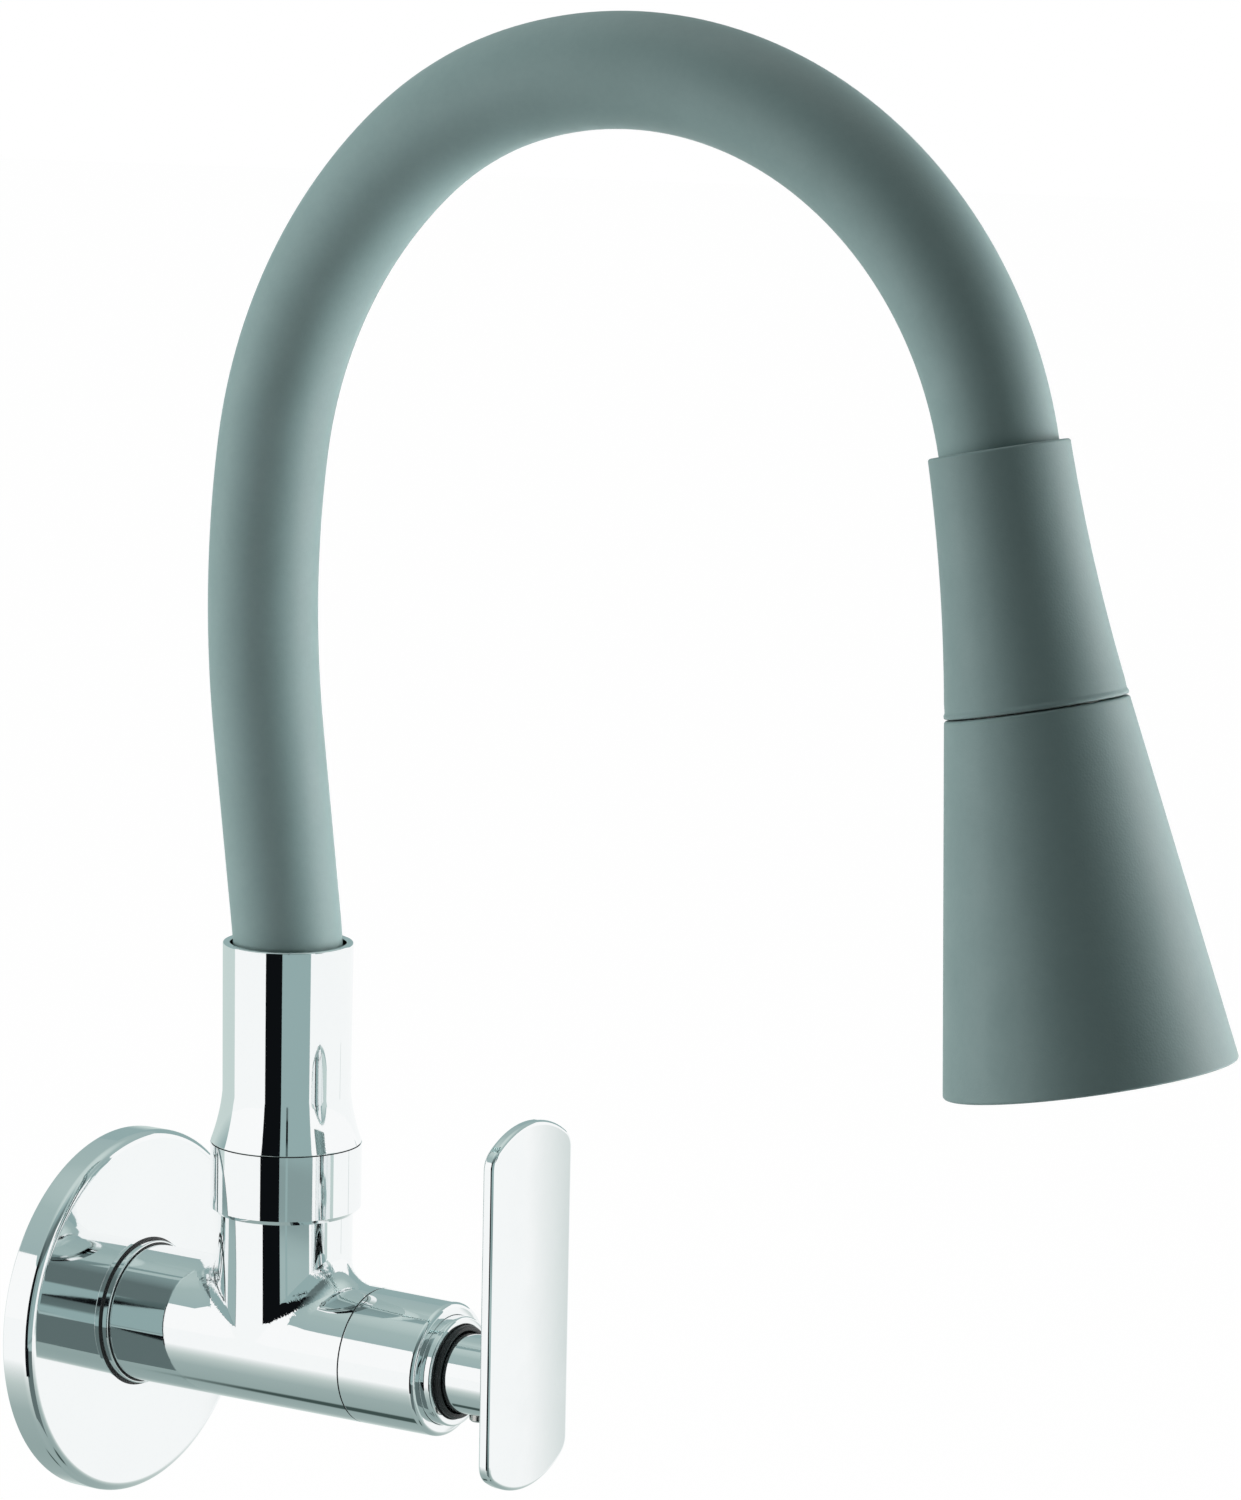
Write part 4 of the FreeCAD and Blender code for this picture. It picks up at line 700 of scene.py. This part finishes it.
@dataclass
class WallBase:
    """Everything that stays on the wall: flange, body, cartridge and swivel nut."""

    inlet: InletThread = field(default_factory=InletThread)
    turned: tuple[Turned, ...] = (
        Turned("flange_with_lip", CHROME, "base", ("wall_flange",), (
            (36.5, 0.0, 0.2), (37.7, 0.0, 0.3), (37.7, 7.1, 2.0), (14.86, 7.1, 0.1),
            (14.86, 8.8, 0.26), (14.53, 8.8, 0.1), (14.232, 8.3, 0.0), (14.232, 5.9, 0.0),
            (36.5, 5.9, 0.8)), around=160, easing_steps=8),
        # Painted shadow: a black rubber ring sits in the gap between the lip and the barrel, so the
        # gap shows dark.
        Turned("flange_lip_gap_shade_ring", RUBBER, "base", (), (
            (14.18, 8.25, 0.0), (14.50, 8.25, 0.0), (14.50, 8.74, 0.12),
            (14.18, 8.74, 0.05)), around=96),
        # Painted shade: a black rubber ring lies in the crease where the lip meets the flange's
        # face, so the crease shows dark.
        Turned("flange_crease_shade_ring", RUBBER, "base", (), (
            (14.80, 7.04, 0.0), (15.45, 7.04, 0.0), (15.40, 7.22, 0.1),
            (14.84, 7.32, 0.05)), around=128),
        Turned("cover_shell", CHROME, "base", ("cartridge_cover",), (
            (12.2, 65.45, 0.1), (13.622, 65.45, 0.28), (13.46, 83.4, 1.1), (11.05, 83.4, 0.18),
            (11.05, 80.6, 0.0), (12.2, 80.6, 0.0))),
        # Painted shadow: a black rubber ring fills the gap where the cover meets the body, so the
        # joint shows dark.
        Turned("cover_joint_shade_ring", RUBBER, "base", (), (
            (13.0, 65.32, 0.0), (13.52, 65.32, 0.0), (13.52, 65.43, 0.0),
            (13.0, 65.43, 0.0)), around=96),
        Turned("cover_front_ring", CHROME, "base", ("cover_nose_ring",), (
            (9.4, 78.08, 0.0), (12.1, 78.08, 0.0), (12.1, 80.58, 0.0), (11.0, 80.58, 0.0),
            (11.0, 85.8, 0.45), (9.4, 85.8, 0.35)), around=96),
        Turned("black_lever_bush", BLACK_PLASTIC, "base", ("spindle_bush",), (
            (4.3, 82.0, 0.0), (9.35, 82.0, 0.0), (9.35, 86.8, 0.35), (8.3, 86.8, 0.3),
            (8.3, 84.5, 0.0), (4.3, 84.5, 0.0)), around=96))

    def build(self) -> None:
        """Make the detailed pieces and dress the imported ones."""
        self.inlet.build()
        for piece in self.turned:
            piece.build(ALONG_BARREL)
        dress({
            CHROME: ("wall_flange", "tap_body", "cartridge_cover", "cover_nose_ring",
                     "swivel_nut"),
            BRASS: ("cartridge_housing", "inlet_nipple"),
            RUBBER: ("flange_o_ring", "inlet_washer", "housing_o_ring", "seat_seal"),
            CERAMIC: ("fixed_disc",),
            BLACK_PLASTIC: ("spindle_bush",),
            INNER_PLASTIC: ("swivel_washer",)})


@dataclass
class Lever:
    """The lever plate with its hub, and what turns with it inside the cartridge."""

    def build(self) -> None:
        """Dress the lever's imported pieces."""
        dress({CHROME: ("lever_handle",),
               STEEL: ("handle_set_screw", "spindle_clip"),
               BRASS: ("spindle",),
               RUBBER: ("spindle_o_rings",),
               CERAMIC: ("moving_disc",)})


@dataclass
class HoseFoot:
    """The collar and the swivel that carry the hose."""

    foot: float = 15.3
    belly: float = 13.7725
    sleeve: float = 12.95
    flare: tuple[float, float] = (41.15, 51.5)
    flare_steps: int = 8

    def flare_line(self) -> list[Corner]:
        """Points of the collar's flare, a shallow curve from the wide foot to the sleeve."""
        bend = 2 * (self.foot + self.sleeve - 2 * self.belly)
        slope = self.sleeve - self.foot - bend
        low, high = self.flare
        shares = [step / self.flare_steps for step in range(1, self.flare_steps + 1)]
        return [(self.foot + slope * t + bend * t * t, low + (high - low) * t, 0.0)
                for t in shares]

    def build(self) -> None:
        """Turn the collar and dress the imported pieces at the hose's foot."""
        Turned("hose_collar_sleeve", CHROME, "hose_foot", ("hose_collar",), (
            (9.15, self.flare[0], 0.0), (self.foot, self.flare[0], 0.22), *self.flare_line(),
            (13.15, 82.1, 0.35), (11.7, 82.1, 0.3), (11.7, 49.98, 0.0),
            (9.15, 49.98, 0.0))).build(UP_THE_NECK)
        dress({CHROME: ("hose_collar",),
               BRASS: ("swivel_spigot",),
               STEEL: ("lower_hose_ferrule", "upper_hose_ferrule"),
               RUBBER: ("spigot_o_rings",)})


@dataclass
class SprayHead:
    """The spray head: upper shell, turning cone and the water parts inside them."""

    top: float = 13.0
    seam: float = 16.9
    shell_length: float = 47.1
    sag: float = 0.8
    shell_steps: int = 16

    def shell_line(self) -> list[Corner]:
        """Points of the shell's side, a shallow hollow curve that opens towards the seam."""
        shares = [step / self.shell_steps for step in range(1, self.shell_steps)]
        return [(self.top + (self.seam - self.top) * t - 4 * self.sag * t * (1 - t),
                 self.shell_length * t, 0.0) for t in shares]

    def build(self) -> None:
        """Turn the shell and the cone, and dress the head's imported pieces."""
        Turned("spray_head_shell", SOFT_TOUCH, "head", ("head_shell",), (
            (11.5, 0.0, 0.3), (self.top, 0.0, 0.5), *self.shell_line(), (16.62, 46.0, 0.2),
            (self.seam, 46.45, 0.15), (self.seam, self.shell_length, 0.3),
            (13.8, self.shell_length, 0.0), (13.8, 37.0, 0.0), (13.525, 37.0, 0.0),
            (12.188, 24.5, 0.0), (10.85, 24.5, 0.0), (10.85, 12.3, 0.0),
            (11.5, 12.3, 0.0))).build(DOWN_THE_HEAD)
        Turned("spray_head_cone", SOFT_TOUCH, "cone", ("spray_cone",), (
            (14.5, 47.4, 0.0), (16.944, 47.4, 0.5), (27.1, 115.4, 0.6), (24.25, 115.4, 0.35),
            (24.25, 110.2, 0.0), (22.324, 110.2, 0.0), (15.931, 54.0, 0.0),
            (14.5, 54.0, 0.0)), around=160).build(DOWN_THE_HEAD)
        dress({SOFT_TOUCH: ("head_shell", "spray_cone"),
               BRASS: ("head_connector",),
               STEEL: ("pivot_screw", "aerator_screen"),
               RUBBER: ("core_o_ring",),
               INNER_PLASTIC: ("diverter_core", "cone_rotor", "aerator_tube", "spray_feed_tube",
                               "spray_chamber_lid", "aerator_housing"),
               FACE_PLASTIC: ("spray_face",),
               NOZZLE_RUBBER: ("nozzle_mat",)})


@dataclass(frozen=True)
class Card:
    """A card of the studio that only polished metal shows: a patch of a large sphere.

    Bearings run from the camera's side, positive to the right of the picture, and a stop gives
    the colour at a height, or at a bearing on a card that is shaded across; all are in degrees.
    The distance is the sphere's radius in metres.
    """

    name: str
    bearings: tuple[float, float]
    stops: Stops
    heights_across: tuple[float, ...] = ()
    distance: float = 1.5


BLACK_CLOTH = (0.004, 0.005, 0.006)
GREY_CARD = (0.30, 0.42, 0.42)
SHADED_CARD = (0.245, 0.335, 0.335)
LIGHT_CARD = (0.36, 0.475, 0.47)
DIM_GREY = (0.12, 0.17, 0.17)
DARK_GREY = (0.12, 0.165, 0.165)
PALE_GREY = (0.58, 0.68, 0.66)
PLATE_GREY = (0.66, 0.72, 0.71)
WHITE = (1.0, 1.0, 1.0)
CARD_ARC_STEP = 3.0
CARD_TURN_STEP = 5.0
FRONT_STOPS = (
    (-31.0, DARK_GREY), (-16.4, DARK_GREY), (-16.0, LIGHT_CARD), (-13.1, LIGHT_CARD),
    (-12.8, SHADED_CARD), (-11.5, SHADED_CARD), (-11.2, GREY_CARD), (26.0, GREY_CARD),
    (28.0, DARK_GREY), (46.0, DARK_GREY), (62.0, GREY_CARD), (90.0, PALE_GREY))
CEILING_STOPS = ((31.0, (0.34, 0.45, 0.45)), (50.0, (0.37, 0.48, 0.47)), (72.0, PALE_GREY),
                 (90.0, PALE_GREY))
FLOOR_DARK = (0.05, 0.08, 0.075)
FLOOR_STOPS = ((0.0, FLOOR_DARK), (0.035, FLOOR_DARK), (0.06, (0.30, 0.39, 0.38)),
               (0.30, (0.34, 0.43, 0.42)), (0.55, (0.52, 0.60, 0.58)), (0.95, (0.97, 0.98, 0.98)))


@dataclass(frozen=True)
class Softbox:
    """A soft rectangular lamp that faces a point of the tap; polished metal doesn't show it.

    The side is its bearing from the camera's side and its elevation, and like the spread it is
    in degrees; places, distance and size are in metres.
    """

    name: str
    target: Triple
    side: tuple[float, float]
    distance: float
    size: tuple[float, float]
    watts: float
    spread: float = 180.0


@dataclass
class Studio:
    """Camera, lamps, white surroundings, floor and the cards that polished metal mirrors.

    The front cone is where the tent's fill is lowest and where it reaches its full strength,
    as cosines from the front's middle. The floor's shade is a soft spot before the wall's plane
    and one behind it: their middle, the scale of the floor about it and their offset after that.
    """

    camera_place: Vector = field(default_factory=lambda: Vector((-0.7603, -0.5872, 0.2581)))
    camera_yaw: float = math.radians(31.56)
    camera_pitch: float = math.radians(8.28)
    camera_roll: float = math.radians(1.18)
    lens: float = 113.13
    sensor_width: float = 36.0
    side_fill: float = 0.42
    front_fill: float = 0.035
    front_cone: tuple[float, float] = (0.64, 0.20)
    front_height: float = 4.0
    seen_strength: float = 1.0
    floor_height: float = -0.9
    floor_size: float = 40.0
    floor_white: float = 0.86
    floor_glow: float = 1.04
    floor_shadow: float = 0.06
    shade_middle: Triple = (0.06, 0.0, 0.0)
    shade_scale: Triple = (0.5, 0.35, 0.0)
    shade_offset: Triple = (0.0, 0.16, 0.0)
    cards: tuple[Card, ...] = (
        Card("front_black", (-33.5, -4.2), (
            (-31.0, BLACK_CLOTH), (30.0, BLACK_CLOTH), (45.0, DIM_GREY), (62.0, GREY_CARD),
            (90.0, PALE_GREY))),
        Card("front_middle", (-4.2, 4.9), (
            (-31.0, BLACK_CLOTH), (-14.7, BLACK_CLOTH), (-14.4, LIGHT_CARD), *FRONT_STOPS[3:])),
        Card("front_streak", (4.9, 8.1), (
            (-31.0, DARK_GREY), (-16.4, DARK_GREY), (-16.0, GREY_CARD), (-5.0, GREY_CARD),
            (-1.0, DIM_GREY), (8.0, (0.10, 0.14, 0.14)), (10.0, BLACK_CLOTH),
            (20.0, BLACK_CLOTH), (23.0, (0.08, 0.12, 0.12)), (45.0, (0.16, 0.22, 0.22)),
            (62.0, GREY_CARD), (90.0, PALE_GREY))),
        Card("front_grey", (8.1, 45.0), FRONT_STOPS),
        Card("front_low", (-15.0, 45.0), (
            (-56.0, DARK_GREY), (-30.0, DARK_GREY)), distance=1.05),
        Card("plate_shade", (112.4, 114.2), (
            (112.4, WHITE), (113.3, PLATE_GREY), (114.2, PLATE_GREY)),
             heights_across=(-21.0, -9.5)),
        Card("back_grey", (180.0, 257.0), (
            (-31.0, PALE_GREY), (0.0, PALE_GREY), (10.0, GREY_CARD), (31.0, GREY_CARD))),
        Card("back_upper_grey", (135.0, 180.0), ((3.0, GREY_CARD), (31.0, GREY_CARD))),
        Card("ceiling", (45.0, 326.5), CEILING_STOPS))
    softboxes: tuple[Softbox, ...] = (
        Softbox("right_softbox", (0.0, -0.22, 0.07), (109.0, -6.0), distance=0.5,
                size=(0.4, 0.6), watts=7.4),
        Softbox("left_softbox", (0.0, -0.13, 0.16), (-97.0, 4.0), distance=2.2,
                size=(1.4, 1.6), watts=39.0),
        Softbox("top_softbox", (0.0, -0.13, 0.25), (180.0, 80.0), distance=1.2,
                size=(1.0, 1.0), watts=5.0),
        Softbox("foot_fill", (0.0, -0.045, 0.16), (-12.0, -5.0), distance=0.6,
                size=(0.05, 0.32), watts=0.022, spread=24.0))

    def build(self) -> None:
        """Set up the whole studio."""
        self.camera()
        self.world()
        self.floor()
        for card in self.cards:
            self.card(card)
        for softbox in self.softboxes:
            self.lamp(softbox)
        bpy.context.scene.view_settings.view_transform = "Standard"

    def bearing(self, degrees: float, height: float) -> Vector:
        """The direction at a bearing from the camera's side and an elevation, both in degrees."""
        yaw = self.camera_yaw
        towards = Vector((-math.cos(yaw), -math.sin(yaw), 0.0))
        right = Vector((math.sin(yaw), -math.cos(yaw), 0.0))
        angle, lift = math.radians(degrees), math.radians(height)
        flat = towards * math.cos(angle) + right * math.sin(angle)
        return flat * math.cos(lift) + Vector((0.0, 0.0, math.sin(lift)))

    def camera(self) -> None:
        """Put the camera at the picture's viewing angle."""
        yaw, pitch, roll = self.camera_yaw, self.camera_pitch, self.camera_roll
        forward = Vector((math.cos(yaw) * math.cos(pitch), math.sin(yaw) * math.cos(pitch),
                          -math.sin(pitch)))
        right = Vector((math.sin(yaw), -math.cos(yaw), 0.0))
        up = right.cross(forward)
        rolled_right = right * math.cos(roll) + up * math.sin(roll)
        rolled_up = up * math.cos(roll) - right * math.sin(roll)
        data = bpy.data.cameras.new("camera")
        data.lens = self.lens
        data.sensor_width = self.sensor_width
        camera = bpy.data.objects.new("camera", data)
        turn = Matrix((rolled_right, rolled_up, -forward)).transposed().to_4x4()
        camera.matrix_world = Matrix.Translation(self.camera_place) @ turn
        bpy.context.scene.collection.objects.link(camera)
        bpy.context.scene.camera = camera

    def world(self) -> None:
        """White surroundings for what the camera and polished metal see, and a light tent's fill.

        The tent is bright at the sides and behind the tap and dark round the camera.
        """
        world = bpy.data.worlds.new("light_tent")
        world.use_nodes = True
        tree = world.node_tree
        tree.nodes.clear()

        def add(kind: str, operation: str = "") -> bpy.types.Node:
            """Add a node, with its operation where it has one."""
            node = tree.nodes.new(kind)
            if operation:
                node.operation = operation
            return node

        path = add("ShaderNodeLightPath")
        either = add("ShaderNodeMath", "MAXIMUM")
        any_of = add("ShaderNodeMath", "MAXIMUM")
        tree.links.new(path.outputs["Is Camera Ray"], either.inputs[0])
        tree.links.new(path.outputs["Is Glossy Ray"], either.inputs[1])
        tree.links.new(either.outputs[0], any_of.inputs[0])
        tree.links.new(path.outputs["Is Transmission Ray"], any_of.inputs[1])
        facing = add("ShaderNodeVectorMath", "DOT_PRODUCT")
        facing.inputs[1].default_value = self.bearing(0.0, self.front_height)
        tree.links.new(add("ShaderNodeTexCoord").outputs["Generated"], facing.inputs[0])
        fall = add("ShaderNodeMapRange")
        fall.interpolation_type = "SMOOTHSTEP"
        fall.inputs["From Min"].default_value = self.front_cone[1]
        fall.inputs["From Max"].default_value = self.front_cone[0]
        fall.inputs["To Min"].default_value = self.side_fill
        fall.inputs["To Max"].default_value = self.front_fill
        tree.links.new(facing.outputs["Value"], fall.inputs["Value"])
        fill, seen = add("ShaderNodeBackground"), add("ShaderNodeBackground")
        tree.links.new(fall.outputs["Result"], fill.inputs["Strength"])
        for background in (fill, seen):
            background.inputs["Color"].default_value = (1, 1, 1, 1)
        seen.inputs["Strength"].default_value = self.seen_strength
        mix, output = add("ShaderNodeMixShader"), add("ShaderNodeOutputWorld")
        tree.links.new(any_of.outputs[0], mix.inputs[0])
        tree.links.new(fill.outputs[0], mix.inputs[1])
        tree.links.new(seen.outputs[0], mix.inputs[2])
        tree.links.new(mix.outputs[0], output.inputs["Surface"])
        bpy.context.scene.world = world

    def floor(self) -> None:
        """A plain white floor below the tap, which polished metal sees darken under the tap."""
        bm = bmesh.new()
        bmesh.ops.create_grid(bm, x_segments=1, y_segments=1, size=self.floor_size,
                              matrix=Matrix.Translation((0, 0, self.floor_height)))
        mesh = bpy.data.meshes.new("floor")
        bm.to_mesh(mesh)
        bm.free()
        mesh.materials.append(self.floor_material())
        floor = bpy.data.objects.new("floor", mesh)
        bpy.context.scene.collection.objects.link(floor)

    def floor_material(self) -> bpy.types.Material:
        """White for the camera with a trace of shadow, and two shaded spots for polished metal.

        Returns:
            The floor's material.
        """
        shader = Shader("floor_white")
        path = shader.add("ShaderNodeLightPath")
        white = self.floor_white
        plain = shader.add("ShaderNodeBsdfDiffuse", Color=(white, white, white, 1))
        bright = shader.add("ShaderNodeEmission", Color=(1, 1, 1, 1), Strength=self.floor_glow)
        seen = shader.add("ShaderNodeMixShader", Fac=self.floor_shadow)
        shader.join(bright.outputs[0], seen.inputs[1])
        shader.join(plain.outputs[0], seen.inputs[2])
        front_or_back = shader.add("ShaderNodeVectorMath", operation="ABSOLUTE")
        shader.join(shader.shifted_place(Vector(self.shade_middle), self.shade_scale),
                    front_or_back.inputs[0])
        from_shade = shader.add("ShaderNodeVectorMath", operation="SUBTRACT")
        shader.join(front_or_back.outputs["Vector"], from_shade.inputs[0])
        from_shade.inputs[1].default_value = self.shade_offset
        far = shader.add("ShaderNodeVectorMath", operation="LENGTH")
        shader.join(from_shade.outputs["Vector"], far.inputs[0])
        mirrored = shader.add("ShaderNodeEmission")
        shader.join(shader.ramp(far.outputs["Value"], FLOOR_STOPS), mirrored.inputs["Color"])
        for_camera = shader.add("ShaderNodeMixShader")
        shader.join(path.outputs["Is Camera Ray"], for_camera.inputs[0])
        shader.join(plain.outputs[0], for_camera.inputs[1])
        shader.join(seen.outputs[0], for_camera.inputs[2])
        for_metal = shader.add("ShaderNodeMixShader")
        shader.join(path.outputs["Is Glossy Ray"], for_metal.inputs[0])
        shader.join(for_camera.outputs[0], for_metal.inputs[1])
        shader.join(mirrored.outputs[0], for_metal.inputs[2])
        shader.join(for_metal.outputs[0], shader.output.inputs["Surface"])
        return shader.material

    def card(self, card: Card) -> None:
        """Hang one card: an arc of heights, spun through its bearings.

        Args:
            card: Its place and colours.
        """
        low, high = card.heights_across or (card.stops[0][0], card.stops[-1][0])
        first, last = card.bearings
        count = max(2, round((high - low) / CARD_ARC_STEP))
        bm = bmesh.new()
        arc = [bm.verts.new(self.bearing(first, low + (high - low) * step / count) * card.distance)
               for step in range(count + 1)]
        edges = [bm.edges.new(pair) for pair in zip(arc, arc[1:])]
        bmesh.ops.spin(bm, geom=arc + edges, cent=(0, 0, 0), axis=(0, 0, 1), dvec=(0, 0, 0),
                       angle=math.radians(last - first),
                       steps=max(8, round((last - first) / CARD_TURN_STEP)), use_merge=False)
        mesh = bpy.data.meshes.new(card.name)
        bm.to_mesh(mesh)
        bm.free()
        shader = Shader(card.name)
        middle = (first + last) / 2 if card.heights_across else 0.0
        along = self.bearing(middle + 90.0, 0.0) if card.heights_across else Vector((0.0, 0.0, 1.0))
        reaches = [card.distance * math.sin(math.radians(stop - middle)) for stop, _ in card.stops]
        start, end = reaches[0], reaches[-1]
        reached = shader.add("ShaderNodeVectorMath", operation="DOT_PRODUCT")
        shader.join(shader.place(), reached.inputs[0])
        reached.inputs[1].default_value = along
        share = shader.between(reached.outputs["Value"], 0.0, 1.0, start, end)
        stops = tuple(((reach - start) / (end - start), colour)
                      for reach, (_, colour) in zip(reaches, card.stops))
        glow = shader.add("ShaderNodeEmission", Strength=1.0)
        shader.join(shader.ramp(share, stops), glow.inputs["Color"])
        shader.join(glow.outputs[0], shader.output.inputs["Surface"])
        mesh.materials.append(shader.material)
        held = bpy.data.objects.new(card.name, mesh)
        for kind in ("camera", "diffuse", "transmission", "volume_scatter", "shadow"):
            setattr(held, f"visible_{kind}", False)
        bpy.context.scene.collection.objects.link(held)

    def lamp(self, softbox: Softbox) -> None:
        """Hang one lamp.

        Args:
            softbox: Its place, size and power.
        """
        data = bpy.data.lights.new(softbox.name, "AREA")
        data.shape = "RECTANGLE"
        data.size, data.size_y = softbox.size
        data.energy = softbox.watts
        data.spread = math.radians(softbox.spread)
        lamp = bpy.data.objects.new(softbox.name, data)
        target = Vector(softbox.target)
        place = target + self.bearing(*softbox.side) * softbox.distance
        turn = (target - place).to_track_quat("-Z", "Y").to_matrix().to_4x4()
        lamp.matrix_world = Matrix.Translation(place) @ turn
        lamp.visible_glossy = False
        bpy.context.scene.collection.objects.link(lamp)


def main() -> None:
    """Build every sub-assembly in order."""
    logging.basicConfig(level=logging.INFO, format="%(name)s: %(message)s")
    Studio().build()
    for assembly in (WallBase(), Lever(), HoseFoot(), BendableHose(), SprayHead()):
        LOG.info("building %s", type(assembly).__name__)
        assembly.build()


if __name__ == "__main__":
    main()
